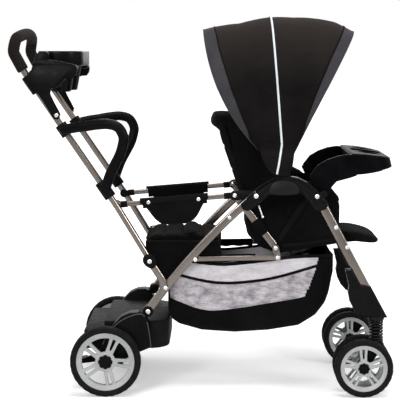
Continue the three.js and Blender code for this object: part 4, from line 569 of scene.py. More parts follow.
def disc(profile, centre, axis, steps=40):
    """A turned solid whose profile starts and ends on the axis."""
    u = FORWARD if abs(axis.x) < 0.9 else LEFT
    u = (u - axis * u.dot(axis)).normalized()
    v = axis.cross(u)
    inner = profile[1:-1]
    flat = [centre + axis * (profile[0][1] * MM)]
    for c, s in around(steps):
        flat += [centre + (u * c + v * s) * (r * MM) + axis * (h * MM) for r, h in inner]
    flat.append(centre + axis * (profile[-1][1] * MM))
    wide, last = len(inner), len(flat) - 1
    faces = ring_faces(wide, steps, 1, closed=False)
    for k in range(steps):
        here, there = 1 + k * wide, 1 + (k + 1) % steps * wide
        faces += [(0, there, here), (last, here + wide - 1, there + wide - 1)]
    return flat, faces


def rod(place, r, y0, y1, edge=0.8, steps=40):
    low, high = min(y0, y1), max(y0, y1)
    profile = [(0, low), (r - edge, low), (r, low + edge), (r, high - edge), (r - edge, high), (0, high)]
    return disc(profile, at(*place), LEFT, steps)


def middle_of(outline):
    return Vector((sum(p[0] for p in outline) / len(outline), sum(p[1] for p in outline) / len(outline)))


def plate(outline, y0, y1, edge):
    """A flat plate with softened rims whose outline, in millimetres, lies in the XZ plane."""
    centre = middle_of(outline)
    y0, y1 = sorted((y0, y1))

    def inset(amount):
        out = []
        for i, p in enumerate(outline):
            run = (Vector(outline[(i + 1) % len(outline)]) - Vector(outline[i - 1])).normalized()
            normal = Vector((-run.y, run.x))
            if normal.dot(centre - Vector(p)) < 0:
                normal = -normal
            out.append(Vector(p) + normal * amount)
        return out

    levels = [(y0, inset(edge)), (y0 + edge * 0.3, inset(edge * 0.3)), (y0 + edge, inset(0)),
              (y1 - edge, inset(0)), (y1 - edge * 0.3, inset(edge * 0.3)), (y1, inset(edge))]
    return grid([[at(p[0], p[1], y) for p in ring] for y, ring in levels], closed=True)


def soft_roll(name, outline, half, body, ripple, replaces=()):
    """A padded body whose side outline runs across and draws in towards both ends."""
    steps, power, share, least = 44, 7.0, 0.42, 0.03
    outline = outline_of(outline)
    centre = middle_of(outline)
    rings = []
    for i in range(steps + 1):
        t = -math.cos(math.pi * i / steps)
        grow = max(least, 1 - abs(t) ** power) ** share
        rings.append([at(lerp(centre.x, x, grow), lerp(centre.y, z, grow), half * t) for x, z in outline])
    made = piece(name, [grid(rings, closed=True)], CLOTH, body, replaces, 70, weld=True)
    centre = sum((v.co for v in made.data.vertices), Vector()) / len(made.data.vertices)
    for vertex in made.data.vertices:
        out = (vertex.co - centre).normalized()
        vertex.co += out * (ripple * MM * noise.noise(vertex.co * 34))
    finish_mesh(made.data, 75)


def boolean(thing, operation, points, faces):
    mesh = bpy.data.meshes.new("tool")
    mesh.from_pydata([tuple(p) for p in points], [], faces)
    work = bmesh.new()
    work.from_mesh(mesh)
    bmesh.ops.recalc_face_normals(work, faces=work.faces)
    work.to_mesh(mesh)
    work.free()
    tool = add_object("tool", mesh)
    modify(thing, "BOOLEAN", operation=operation, solver="EXACT", object=tool)
    bpy.data.objects.remove(tool, do_unlink=True)
    bpy.data.meshes.remove(mesh)


def refined(node, look, body, width):
    """A CAD node's own shape, welded, with softened edges and smooth shading."""
    work = bmesh.new()
    work.from_mesh(frame["nodes"][node].data)
    bmesh.ops.remove_doubles(work, verts=work.verts, dist=2e-6)
    bmesh.ops.dissolve_limit(work, angle_limit=math.radians(1.2), verts=work.verts, edges=work.edges)
    mesh = bpy.data.meshes.new("fine_" + node)
    work.to_mesh(mesh)
    work.free()
    mesh.materials.clear()
    mesh.materials.append(look)
    mesh.polygons.foreach_set("material_index", [0] * len(mesh.polygons))
    if mesh.has_custom_normals:
        mesh.attributes.remove(mesh.attributes["custom_normal"])
    made = add_object("fine_" + node, mesh)
    soften(made, width)
    finish_mesh(made.data, 38)
    dress(made, body, (node,))
    return made


# Wheels

# Radius, radius of the tyre's seat, width, width of the rim's band, radius of the hub and of its cap.
REAR_WHEEL = (98, 81, 30, 15, 28, 20)
FRONT_WHEEL = (81, 65, 27, 12, 22, 16)
# Each station of a spoke: the share of the way out, its half width, its slot's half width and its face's depth.
SPOKE = ((-0.06, 0.30, 0.0, 0.6), (0.04, 0.30, 0.0, 0.3), (0.12, 0.30, 0.0, 0.0), (0.17, 0.30, 0.06, 0.0),
         (0.35, 0.305, 0.085, 0.0), (0.6, 0.32, 0.10, 0.0), (0.9, 0.36, 0.115, 0.0), (1.06, 0.42, 0.12, 0.4))
SPOKES = 5
SHOULDERS = (4, 5, 14, 15)
EDGE_DROP = 1.2


def add_wheel(kind, place, size, phase, out, body, steps):
    """One wheel whose face looks along out, plus or minus one in Y."""
    radius, seat, width, band, hub, cap = size
    centre = at(*place)
    axis = Vector((0, out, 0))
    flank, groove_r = (lerp(seat, radius, 0.45), lerp(seat, radius, 0.78)), radius - 1.6
    half = [(seat - 0.6, 0.36), (seat + 1.5, 0.43), (flank[0], 0.5), (flank[1], 0.47), (radius - 1.2, 0.36),
            (radius, 0.27), (radius, 0.15), (groove_r, 0.12), (groove_r, 0.06), (radius, 0.03)]
    profile = [(r, -h * width) for r, h in half] + [(r, h * width) for r, h in reversed(half)]

    def tread(index, k):
        return -1.5 if index in SHOULDERS and k % 4 == 0 else 0

    tag = kind.replace("*", "tyre")
    piece("fine_" + tag, [turned(profile, centre, axis, steps, tread)], TYRE, body, (tag,), 30, weld=True)

    inner = seat - band
    face = 0.30 * width
    back = face - 0.30 * width
    ring = [(inner, -0.30), (inner + 1, -0.335), (seat - 2, -0.40), (seat - 0.7, -0.40), (seat - 0.7, 0.40),
            (seat - 2.4, 0.415), (seat - 3.6, 0.385), (inner + 2.2, 0.31), (inner + 0.6, 0.285), (inner, 0.25)]
    hub_profile = [(0, -0.42 * width), (hub - 8, -0.42 * width), (hub - 7, -0.38 * width), (hub - 6, back),
                   (hub - 1, back), (hub, back + 1), (hub, face - EDGE_DROP), (hub - 1.4, face + 0.6),
                   (cap + 2, face + 1.4), (0, face + 1.4)]
    rim = [turned([(r, h * width) for r, h in ring], centre, axis, 96), disc(hub_profile, centre, axis, 60)]
    reach = inner - hub
    for index in range(SPOKES):
        angle = math.radians(phase + 360 / SPOKES * index)
        du = FORWARD * math.cos(angle) + UP * math.sin(angle)
        dv = UP * math.cos(angle) - FORWARD * math.sin(angle)
        for sign in (1, -1):
            rows = []
            for share, wide, slot, sink in SPOKE:
                along = centre + du * ((hub + share * reach) * MM)
                low, high, front = sign * slot * reach, sign * wide * reach, face - sink
                edge = min(1.0, abs(high - low) / 4) * sign
                slope, drop = (edge, EDGE_DROP) if slot else (0, 0)
                section = ((low, back), (low, front - drop), (low + slope, front), (high - edge, front),
                           (high, front - EDGE_DROP), (high, back))
                rows.append([along + dv * (v * MM) + axis * (h * MM) for v, h in section])
            rim.append(grid(rows, closed=True))
    tag = kind.replace("*", "rim")
    piece("fine_" + tag, rim, RIM, body, (tag,), 32)

    rings = []
    lobe_angles = [2 * math.pi * k / 64 for k in range(64)]
    for grow, depth in ((1.0, face - 1), (1.0, face + 0.115 * width), (0.93, face + 0.14 * width),
                        (0.45, face + 0.15 * width)):
        turn = []
        for angle in lobe_angles:
            r = cap * grow * (0.84 + 0.16 * abs(math.cos(4 * angle)) ** 0.5)
            out_from = FORWARD * math.cos(angle) + UP * math.sin(angle)
            turn.append(centre + out_from * (r * MM) + axis * (depth * MM))
        rings.append(turn)
    nut = [(0, face), (cap * 0.34, face), (cap * 0.34, face + 0.16 * width), (cap * 0.3, face + 0.165 * width),
           (0, face + 0.165 * width)]
    piece("cap_" + kind.replace("_*_", "_"), [grid(rings, closed=True), disc(nut, centre, axis, 6)], BLACK, body,
          sharp=35)


def add_wheels():
    for side, sign in SIDES:
        add_wheel(f"rear_*_{side}", (*REAR_AXLE, sign * 247), REAR_WHEEL, 67, sign, f"rear_wheel_{side}", 120)
        for place, spread, out in (("outer", 35, sign), ("inner", -35, -sign)):
            add_wheel(f"front_*_{side}_{place}", (*FRONT_AXLE, sign * (FRONT_Y + spread)), FRONT_WHEEL, 20, out,
                      f"front_wheel_{side}_{place}", 104)


# Frame tubes

LEG_BOW = ((0, 0), (0.25, 0.022), (0.5, 0.03), (0.78, 0.022), (1, 0))
HANDLE_SIDE = (HANDLE_PIN, RAIL_REAR, GRIP_FOOT, (-564, 948), (-558, 984))
HANDLE_CROWN, HANDLE_TOP = (-551.2, 994.5, 103), (-547, 1001)
HANDLE_BENDS = [12, 12, 9, 27, 32]


def add_tubes():
    run_x, run_z = HUB_PIN[0] - LEG_FOOT[0], HUB_PIN[1] - LEG_FOOT[1]
    leg = [at(LEG_FOOT[0] + s * run_x - t * run_z, LEG_FOOT[1] + s * run_z + t * run_x, LEG_Y) for s, t in LEG_BOW]
    # Each tube's name, body, path and section, then its rods' places, radii and ends.
    tubes = (
        ("rear_leg", "rear_frame", smooth_path(leg, 12), oval(7, 11.5, 32, 0.42),
         ((HUB_PIN, 11.4, 179.2, 192.8), (LEG_FOOT, 11.4, 179.2, 192.8))),
        ("lower_tube", "rear_frame", bent_path(line_at((HANDLE_PIN, (-143, 300), LEG_FOOT), LOWER_Y), [32], 16),
         oval(8, 10, 32, 0.6), ((HANDLE_PIN, 9.9, 193.4, 209.2), (LEG_FOOT, 9.9, 193.4, 209.2))),
        ("front_leg", "front_frame", line_at(((274, 552), (349, 411.5), (424, 271)), FRONT_Y),
         oval(7.5, 12.5, 32, 0.42), ()),
        ("side_rail", "side_rails", line_at((RAIL_REAR, (-118, 538.5), RAIL_FRONT), RAIL_Y), oval(6, 7, 28, 0.5),
         ((RAIL_REAR, 10, 162.8, 174.6), (RAIL_FRONT, 10, 162.8, 174.6))),
        ("seat_link", "seat_links", line_at(((156, 410), (103, 478.5), RAIL_FRONT), LINK_Y),
         oval(6, 10.4, 28, 0.42), ((SEAT_PIN, 9.4, 150.5, 162.3), (RAIL_FRONT, 10.4, 150.5, 162.3))),
    )
    for side, sign in SIDES:
        for name, body, path, section, rods in tubes:
            parts = [sweep(path, section)] + [rod(*values) for values in rods]
            piece(f"fine_{name}_{side}", parts, CHAMPAGNE, body, (f"{name}_{side}",), 50, mirror=sign < 0)

    corners = {}
    for sign in (1, -1):
        corners[sign] = line_at(HANDLE_SIDE, sign * HANDLE_Y)
        corners[sign].append(at(*HANDLE_CROWN[:2], sign * HANDLE_CROWN[2]))
    path = bent_path(corners[1] + [at(*HANDLE_TOP)] + corners[-1][::-1],
                     HANDLE_BENDS + [60] + HANDLE_BENDS[::-1], 10)
    parts = [sweep(path, oval(9, 9, 28))] + [rod(HANDLE_PIN, 9, sign * 175.2, sign * 192.8) for sign in (1, -1)]
    piece("fine_handle_tube", parts, CHAMPAGNE, "handle", ("handle_tube",), 50)

    grip = [p for p in dense_path(path, 0.006) if p.z > (GRIP_FOOT[1] - 0.5) * MM]
    sizes = [min(1.0, 0.9 + 0.1 * min(i, len(grip) - 1 - i) / 2) for i in range(len(grip))]
    piece("fine_handle_grip", [sweep(grip, oval(16.0, 16.0, 32), scale=sizes)], FOAM, "handle", ("handle_grip",))
    piece("fine_cross_tube", [rod(CROSS_TUBE, 8, -206, 206, 0.5)], CHAMPAGNE, "front_frame",
          ("front_cross_tube",), 50)
    piece("fine_rear_axle", [rod(REAR_AXLE, 5, -250.5, 250.5)], STEEL, "rear_frame", ("rear_axle",), 50)
    refined("seat_frame", CHAMPAGNE, "seat", 1.0)


def on_handle(x, y=HANDLE_Y):
    """The place on the handle's straight upper stretch at an X."""
    (x0, z0), (x1, z1) = GRIP_FOOT, RAIL_REAR
    return at(x, z0 + (x - x0) * (z1 - z0) / (x1 - x0), y)


# Along each grab bar: shares of its reach forward, of its rise and of its bow outward.
GRAB_SHARES = ((0.02, 0.02, 0.1), (0.2, 0.16, 0.36), (0.36, 0.24, 0.6), (0.56, 0.36, 0.78), (0.76, 0.4, 0.94),
               (0.92, 0.2, 1), (1, -0.34, 1), (0.99, -0.8, 0.96), (0.94, -1.4, 0.86), (0.84, -2.1, 0.62),
               (0.76, -2.7, 0.34))
GRAB_REACH, GRAB_RISE, GRAB_BOW, GRAB_OUT = 0.168, 0.046, 58, 9


def add_grab_bars():
    top, bottom = (on_handle(lerp(GRIP_FOOT[0], RAIL_REAR[0], share)) for share in (0.437, 0.882))
    foot_out = Vector((0, GRAB_OUT * MM, 0))
    points = [top + foot_out]
    for s, t, w in GRAB_SHARES:
        y = (HANDLE_Y + GRAB_OUT + w * GRAB_BOW) * MM
        points.append(Vector((top.x + s * GRAB_REACH, y, top.z + t * GRAB_RISE)))
    points.append(bottom + foot_out)
    along = (on_handle(-400) - on_handle(-420)).normalized()
    parts = [sweep(smooth_path(points, 8), oval(13.2, 14.0, 28, 0.86))]
    for foot, reach in ((top, 18), (bottom, 26)):
        profile = [(0, -reach), (15.2, -reach), (16.6, 1.6 - reach), (16.6, reach - 1.6), (15.2, reach), (0, reach)]
        parts.append(disc(profile, foot, along, 36))
    for side, sign in SIDES:
        piece(f"fine_grab_bar_{side}", parts, BLACK, "handle", (f"grab_bar_{side}",), 50, mirror=sign < 0)


# Mouldings that keep their CAD shape, with softened edges

def add_mouldings():
    for side, _ in SIDES:
        for name, look, body, width in (
            ("hub_arch", GLOSSY, "front_frame", 1.0), ("fork_housing", GLOSSY, "front_frame", 1.2),
            ("rear_housing", BLACK, "rear_frame", 1.2), ("brake_pedal", BLACK, f"brake_{side}", 0.8),
            ("caster_stem", SPRING_STEEL, f"caster_{side}", 0.6), ("caster_carrier", BLACK, f"carrier_{side}", 0.8),
        ):
            refined(f"{name}_{side}", look, body, width)
    refined("standing_platform", GREY_STEP, "rear_frame", 1.2)
    refined("bench_frame", CLOTH, "rear_frame", 0.8)
    slope_tray(refined("child_tray", SMOOTH_TRAY, "tray", 1.2))
    for name, body in (("rear", "front_frame"), ("middle", "canopy_middle"), ("front", "canopy_front")):
        refined(f"canopy_bow_{name}", BLACK, body, 0.5)


def slope_tray(tray):
    """The tray thins towards its front: its top falls, its underside rises and its front draws in."""
    rear, length, floor, depth = 356, 130, 616, 52
    for vertex in tray.data.vertices:
        x, z = (vertex.co.x - SHIFT) / MM, vertex.co.z / MM
        t = clamp((x - rear) / length)
        if t > 0:
            share = (z - floor) / depth
            top, low = 671 - 15 * t**1.6, 606 + 22 * t
            rise = lerp(low, top, share) if share > 0 else low + share * 40
            vertex.co.z = lerp(z, rise, min(1.0, t * 6)) * MM
            vertex.co.x += (1 - share) * 7 * t * t * MM - 5 * t * t * MM
    finish_mesh(tray.data, 38)


TRAY_X, TRAY_HALF, TRAY_CORNER, CUP_Y = -443, (64, 150), 60, 92
# The tray's walls from its floor over the rim and down inside: how far each ring is drawn in, and its height.
TRAY_LEVELS = ((6, 909), (3, 909.4), (1.2, 911), (0.4, 914), (0.2, 945), (0.4, 948.4), (1.4, 950.3), (3, 951),
               (4.6, 950.4), (5.4, 948), (6, 927), (8, 925))
CUP = ((0, 837), (25, 837), (28, 839.5), (41.5, 912), (41.5, 930), (0, 930))
WELL = ((0, 841), (22, 841), (24.5, 843.5), (37.6, 912), (39.5, 924), (39.5, 960), (0, 960))
BRACKET = ((-510, 903), (-524, 887), (-527, 868), (-517, 853), (-498, 834), (-488, 822), (-470, 793), (-455, 768),
           (-446, 763.5), (-437, 768), (-440, 780), (-458, 815), (-466, 836), (-458, 848), (-438, 853),
           (-424, 870), (-414, 879), (-392, 883), (-388, 903), (-400, 912), (-455, 914), (-500, 912))
TRAY_ARM = ((-469, 946), (-498, 945), (-515, 902), (-519, 871), (-505, 847), (-492, 880), (-469, 907))
TRAY_SHELF = ((-505, 906), (-500, 926), (-452, 926), (-396, 914), (-392, 900), (-440, 896))
TRAY_SLEEVE = ((0, -27), (15.6, -27), (17, -25.4), (17, 25.4), (15.6, 27), (0, 27))


def rounded_ring(inset, z, count=18):
    """A rounded rectangle round the tray's middle, drawn in by an inset."""
    r = TRAY_CORNER - inset
    x, y = TRAY_HALF[0] - inset - r, TRAY_HALF[1] - inset - r
    out = []
    for quarter, (cx, cy) in enumerate(((x, y), (-x, y), (-x, -y), (x, -y))):
        for k in range(count):
            angle = math.pi / 2 * (quarter + k / (count - 1))
            out.append(at(TRAY_X + cx + r * math.cos(angle), z, cy + r * math.sin(angle)))
    return out


def add_parent_tray():
    made = piece("fine_parent_tray", [grid([rounded_ring(*level) for level in TRAY_LEVELS], closed=True)], GLOSSY,
                 "handle", ("parent_tray",), 40)
    for operation, profile in (("UNION", CUP), ("DIFFERENCE", WELL)):
        for sign in (1, -1):
            boolean(made, operation, *disc(profile, at(TRAY_X, 0, sign * CUP_Y), UP, 56))
    corners = ((1, 1), (-1, 1), (-1, -1), (1, -1))
    boolean(made, "DIFFERENCE", *grid([[at(TRAY_X + a * 58, z, b * 40) for a, b in corners] for z in (917, 960)],
                                      closed=True))
    soften(made, 0.8, 40)
    finish_mesh(made.data, 35)

    along = (on_handle(-500) - on_handle(-520)).normalized()
    for side, sign in SIDES:
        parts = [plate(outline_of(TRAY_ARM), sign * 137.5, sign * 182.0, 3.0),
                 disc(TRAY_SLEEVE, on_handle(-512, sign * HANDLE_Y), along, 36),
                 plate(outline_of(BRACKET, 4), sign * 186.0, sign * 202.0, 3.4),
                 plate(outline_of(TRAY_SHELF, 4), sign * 140.0, sign * 200.0, 3.0)]
        piece(f"tray_bracket_{side}", parts, BLACK, "handle", sharp=40)


SPRING_SEAT_Z, SPRING_LENGTH, SPRING_END, SPRING_R, SPRING_TURNS = 212.7, 66, 2.4, 17.6, 8


def add_springs():
    gap, per_turn = 0.3, 28
    low = SPRING_SEAT_Z - SPRING_LENGTH + gap + SPRING_END
    high = SPRING_SEAT_Z - gap - SPRING_END
    steps, flat = SPRING_TURNS * per_turn, per_turn / 2
    core = [(0, high - 64), (11, high - 64)]
    for k in range(9):
        core += [(13.4, high - 61.5 + 6.6 * k), (11.0, high - 58.2 + 6.6 * k)]
    core += [(11, high + 1), (0, high + 1)]
    for side, sign in SIDES:
        points = []
        for i in range(steps + 1):
            angle = 2 * math.pi * i / per_turn
            even = clamp((i - flat / 2) / (steps - flat))
            share = (smoothstep(even) + 3 * even) / 4
            points.append(at(CASTER_X + SPRING_R * math.cos(angle), low + share * (high - low),
                             sign * FRONT_Y + SPRING_R * math.sin(angle)))
        parts = [sweep(points, oval(2.7, 2.7, 12), across=UP), disc(core, at(CASTER_X, 0, sign * FRONT_Y), UP, 28)]
        made = piece(f"fine_spring_{side}", parts, SPRING_STEEL, f"caster_{side}", (f"front_spring_{side}",))
        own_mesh(made)


# Canopy

CANOPY_X, CANOPY_Z, CANOPY_HALF = 180, 624, 207
# Each bow's angle in degrees, its reach and its bulge.
REAR_BOW, MIDDLE_BOW, FRONT_BOW = (118.5, 447, 26), (94.4, 424, 0), (63.5, 432, 0)
DOME = 0.6
FABRIC_START = math.asin((44 / 432) ** (1 / DOME)) / math.pi
DOME_COUNT = 128
BAND_ROWS, BLACK_ROWS, CANOPY_MARGIN = 5, 26, 1.3
CROWN_ROWS = ((0, 0), (0.27, 0), (0.51, 0.55), (0.76, 1), (1, 0))
REAR_SAG = ((0, 0), (0.27, 0.6), (0.52, 1), (0.77, 0.5), (1, 0))
FRONT_SAG = ((0, 0), (0.27, 0.3), (0.51, 0.3), (0.76, 0.1), (1, 0))
SAG_DEPTH, FRONT_CROWN = 12, 7
# The bands' widths in millimetres by the distance from the pivot.
REAR_BAND = ((0, 0.4), (118, 0.4), (150, 9), (230, 21), (330, 31), (420, 33), (450, 31))
FRONT_BAND = ((0, 0.4), (112, 0.4), (150, 11), (230, 21), (330, 29), (420, 31), (450, 28))


def canopy_point(angle, reach, sag, bulge, share, lift=0.0):
    """A place on the dome at a share of the way from the left foot over the crown to the right one."""
    c, height = math.cos(math.pi * share), math.sin(math.pi * share)
    drop = sag * height
    reach, half = reach - drop + lift, CANOPY_HALF - drop / 2 + min(lift, 1.0)
    r = reach * height**DOME
    a = math.radians(angle + bulge * (1 - r / reach))
    return Vector((CANOPY_X + r * math.cos(a), half * math.copysign(abs(c) ** DOME, c), CANOPY_Z + r * math.sin(a)))


def canopy_push(p, t, r, height):
    """Soft wrinkles that run from bow to bow low down, and puffs between the seams."""
    left = p.y > 0
    wrinkle = math.sin(math.pi * t) ** 0.8 * max(0.0, 1 - height) ** 0.6
    drift = 3 * noise.noise(Vector((t * 2.2, r * 0.012, 4.0 if left else 9.0)))
    ripple = math.sin(r / 7.5 + 1.7 * math.sin(5 * t + (0.7 if left else 0)) + drift)
    shallow = noise.noise(Vector((p.x * 0.012, p.y * 0.01, p.z * 0.02)))
    outward = Vector((p.x - CANOPY_X, 0, p.z - CANOPY_Z)).normalized() * height * 0.8
    outward.y = math.copysign(1.0 - height * 0.6, p.y) if abs(p.y) > 1 else 0
    return outward * min(2.3 * wrinkle * ripple + 2.0 * shallow * math.sin(math.pi * t), 2.0)


def canopy_half(name, first, second, band_table, band_first, sag_rows, crown):
    """One panel of the canopy between two bows, with its edge band along the outer bow."""
    columns = []
    turn = CANOPY_MARGIN if first[0] > second[0] else -CANOPY_MARGIN
    edge = first if band_first else second
    angle0 = first[0] + (turn if band_first else 0)
    angle1 = second[0] - (0 if band_first else turn)
    span = abs(first[0] - second[0]) + CANOPY_MARGIN
    for j in range(DOME_COUNT + 1):
        share = lerp(FABRIC_START, 1 - FABRIC_START, j / DOME_COUNT)
        height = math.sin(math.pi * share) ** DOME
        r = edge[1] * height
        # The band's width as a share of the panel, along the arc between the bows.
        band = min(0.6, math.degrees(straight(band_table, r) / max(r, 30)) / span)
        seam, rows = (band, (BAND_ROWS, BLACK_ROWS)) if band_first else (1 - band, (BLACK_ROWS, BAND_ROWS))
        stops = [seam * k / rows[0] for k in range(rows[0])]
        stops += [lerp(seam, 1, k / rows[1]) for k in range(rows[1] + 1)]
        column = []
        for t in stops:
            reach = lerp(first[1], second[1], t) + crown * straight(CROWN_ROWS, t)
            sag = straight(sag_rows, t) * SAG_DEPTH
            p = canopy_point(lerp(angle0, angle1, t), reach, sag, lerp(first[2], second[2], t), share)
            p += canopy_push(p, t, r, height)
            column.append(at(p.x, p.z, p.y))
        columns.append(column)
    count = len(columns[0])
    in_band = [int(j < BAND_ROWS if band_first else j >= BLACK_ROWS) for j in range(count - 1)]
    made = piece(name, [grid(columns)], [CANOPY, BAND], None, face_looks=in_band * DOME_COUNT)
    probe = made.data.polygons[(len(columns) // 2) * (count - 1) + count // 2]
    if probe.normal.z < 0:
        made.data.flip_normals()
    thicken(made, 2.0)
    finish_mesh(made.data, 60, recalc=False)
    return made, columns


FOOT_REAR = ((612, 158), (620, 144), (640, 128), (662, 119), (700, 110))
FOOT_FRONT = ((612, 182), (620, 196), (637, 203), (662, 207), (700, 212))
FOOT_PIPING = ((174.5, 698), (172, 680), (168.5, 660), (165, 640), (161.5, 622), (160.5, 616))
FOOT_LOW, FOOT_HIGH = 612, 700


def foot_depth(z):
    """How far out from the middle the canopy's foot hangs at a height."""
    return 208.6 + 19.4 * smoothstep(clamp((690 - z) / 44))


def add_canopy_feet():
    """The fabric's ends, which hang over the pivots."""
    for side, sign in SIDES:
        rows = []
        for i in range(25):
            z = lerp(FOOT_LOW, FOOT_HIGH, i / 24)
            left, right = straight(FOOT_REAR, z), straight(FOOT_FRONT, z)
            row = []
            for k in range(25):
                u = k / 24
                crease = 0.8 * math.sin(z / 4.6 + 4 * u) * math.sin(math.pi * u) * min(1, (z - FOOT_LOW) / 30)
                curl = 2.0 * (abs(2 * u - 1) ** 6)
                row.append(at(lerp(left, right, u), z, sign * (foot_depth(z) + crease - curl)))
            rows.append(row)
        sheet(f"canopy_foot_{side}", [grid(rows)], CANOPY, "canopy_middle", (), 2.0, 0.09, "hung",
              [f"hub_arch_{side}", "canopy_bow_middle"])
        line = smooth_path([at(x, z, sign * (foot_depth(z) + 2.4)) for x, z in FOOT_PIPING], 5)
        piece(f"canopy_foot_piping_{side}", [sweep(line, oval(3.0, 3.0, 12), across=FORWARD)], PIPING,
              "canopy_middle")


def add_canopy():
    rear, rear_columns = canopy_half("canopy_rear_panel", REAR_BOW, MIDDLE_BOW, REAR_BAND, True, REAR_SAG, 0)
    front, front_columns = canopy_half("canopy_front_panel", MIDDLE_BOW, FRONT_BOW, FRONT_BAND, False, FRONT_SAG,
                                       FRONT_CROWN)
    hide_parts("canopy_fabric")
    for made, bows, bodies, names in (
        (rear, (REAR_BOW, MIDDLE_BOW), ("front_frame", "canopy_middle"), ["canopy_bow_rear", "canopy_bow_middle"]),
        (front, (MIDDLE_BOW, FRONT_BOW), ("canopy_middle", "canopy_front"),
         ["canopy_bow_middle", "canopy_bow_front"]),
    ):
        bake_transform(made)
    add_canopy_feet()
    # Piping over the middle bow, and seams beside the bands.
    line = []
    for j in range(111):
        share = lerp(FABRIC_START * 1.2, 1 - FABRIC_START * 1.2, j / 110)
        p = canopy_point(MIDDLE_BOW[0], MIDDLE_BOW[1], 0, 0, share, 1.6)
        line.append(at(p.x, p.z, p.y))
    piece("canopy_piping", [sweep(line, oval(3.0, 3.0, 12), across=FORWARD)], PIPING, "canopy_middle")
    for name, columns, index, body, size, look in (
        ("rear", rear_columns, BAND_ROWS, "front_frame", 2.2, CLOTH),
        ("front", front_columns, BLACK_ROWS, "canopy_front", 2.2, CLOTH),
        ("rear_hem", rear_columns, 0, "front_frame", 1.6, BAND),
        ("front_hem", front_columns, -1, "canopy_front", 1.6, BAND),
    ):
        seam = sweep([c[index] for c in columns[2:-2:2]], oval(size, size, 10), across=FORWARD)
        piece("canopy_seam_" + name, [seam], look, body)


# Cushions

def cushion_shape(length, half, thick):
    """A crowned closed pad, its length along X from zero, its thickness along Z, in millimetres."""
    across, along, draw, base, power, trim = 44, 52, 0.035, 0.3, 0.42, 2.0
    top, bottom = [], []
    for i in range(along + 1):
        for j in range(across + 1):
            s = lerp(i / along, 0.5 - 0.5 * math.cos(math.pi * i / along), 0.6)
            t = 2 * lerp(j / across, 0.5 - 0.5 * math.cos(math.pi * j / across), 0.6) - 1
            plump = max(0.0, (1 - (2 * s - 1) ** 8) * (1 - t**8)) ** power
            x = trim + (length - 2 * trim) * (s - draw * (2 * s - 1) * (1 - t * t))
            y = (half - trim) * t * (1 - draw * (1 - (2 * s - 1) ** 2))
            top.append((x, y, thick * (base + (1 - base) * plump) - trim * plump))
            bottom.append((x, y, thick * base * (1 - plump) + trim * plump))
    row, count = across + 1, len(top)
    faces = []
    for i in range(along):
        for j in range(across):
            a, b = i * row + j, (i + 1) * row + j
            faces += [(a, b, b + 1, a + 1), (count + a, count + a + 1, count + b + 1, count + b)]
    return top + bottom, faces


SWELL_VOXEL, SWELL_PRESSURE, SWELL_FRAMES = 5, 4, 20


def swell(thing, cap):
    """Cloth simulation with pressure and no gravity; no point moves further than the cap."""
    modify(thing, "REMESH", mode="VOXEL", voxel_size=SWELL_VOXEL * MM)
    rest = [v.co.copy() for v in thing.data.vertices]
    cloth = thing.modifiers.new("cloth", "CLOTH")
    cloth.settings.use_pressure = True
    cloth.settings.uniform_pressure_force = SWELL_PRESSURE
    cloth.settings.effector_weights.gravity = 0
    cloth.settings.quality = 5
    cloth.point_cache.frame_start = 1
    cloth.point_cache.frame_end = SWELL_FRAMES
    scene = bpy.context.scene
    for number in range(1, SWELL_FRAMES + 1):
        scene.frame_set(number)
    bake_modifiers(thing)
    scene.frame_set(1)
    for vertex, start in zip(thing.data.vertices, rest):
        moved = vertex.co - start
        if moved.length > cap * MM:
            vertex.co = start + moved.normalized() * (cap * MM)
    modify(thing, "SMOOTH", factor=0.5, iterations=4)
    modify(thing, "SUBSURF", levels=1, render_levels=1)


def add_channels(thing, matrix, lines, thick):
    """Sewn channels: points near each line, on the crowned side, sink along the pad's thickness."""
    depth, width = 5.0, 4.5
    to_local = matrix.inverted()
    back = to_local.inverted()
    for vertex in thing.data.vertices:
        p = to_local @ vertex.co
        sink = sum(math.exp(-((((p.x if axis == "x" else p.y) / MM - place) / width) ** 2)) for axis, place in lines)
        push = 0.6 * noise.noise(Vector((p.x * 55, p.y * 55, p.z * 55))) - depth * min(sink, 1.0)
        p.z += push * MM * (1 if p.z > thick / 2 * MM else -0.6)
        vertex.co = back @ p


def place_matrix(origin, forward):
    """Local X along a direction in the XZ plane, Z a quarter turn up from it."""
    forward = Vector((forward[0], 0, forward[1])).normalized()
    m = Matrix.Identity(4)
    for column, value in enumerate((forward, LEFT, Vector((-forward.z, 0, forward.x)), origin)):
        m.col[column][:3] = value
    return m


def add_cushion(name, size, matrix, body, replaces, lines, seam, cap=7):
    """A pad with sewn channels, and a corded seam round its rim at a height and with a radius."""
    length, half, thick = size
    local, faces = cushion_shape(*size)
    made = piece(name, [([matrix @ (Vector(p) * MM) for p in local], faces)], CLOTH, body, replaces, weld=True)
    swell(made, cap)
    add_channels(made, matrix, lines, thick)
    finish_mesh(made.data, 70)

    height, radius = seam
    corner, inset = 14, 1.0
    near, far, side = inset + corner, length - inset - corner, half - inset - corner
    points = []
    for quarter, (cx, cy) in enumerate(((far, side), (near, side), (near, -side), (far, -side))):
        for k in range(9):
            angle = math.pi / 2 * (quarter + k / 8)
            place = Vector((cx + corner * math.cos(angle), cy + corner * math.sin(angle), height))
            points.append(matrix @ (place * MM))
    ring = dense_path(points + points[:1], 0.012)[:-1]
    up = (matrix @ UP) - (matrix @ Vector())
    piece(name + "_seam", [sweep(ring, oval(radius, radius, 10), across=up, closed=True)], CLOTH, body)


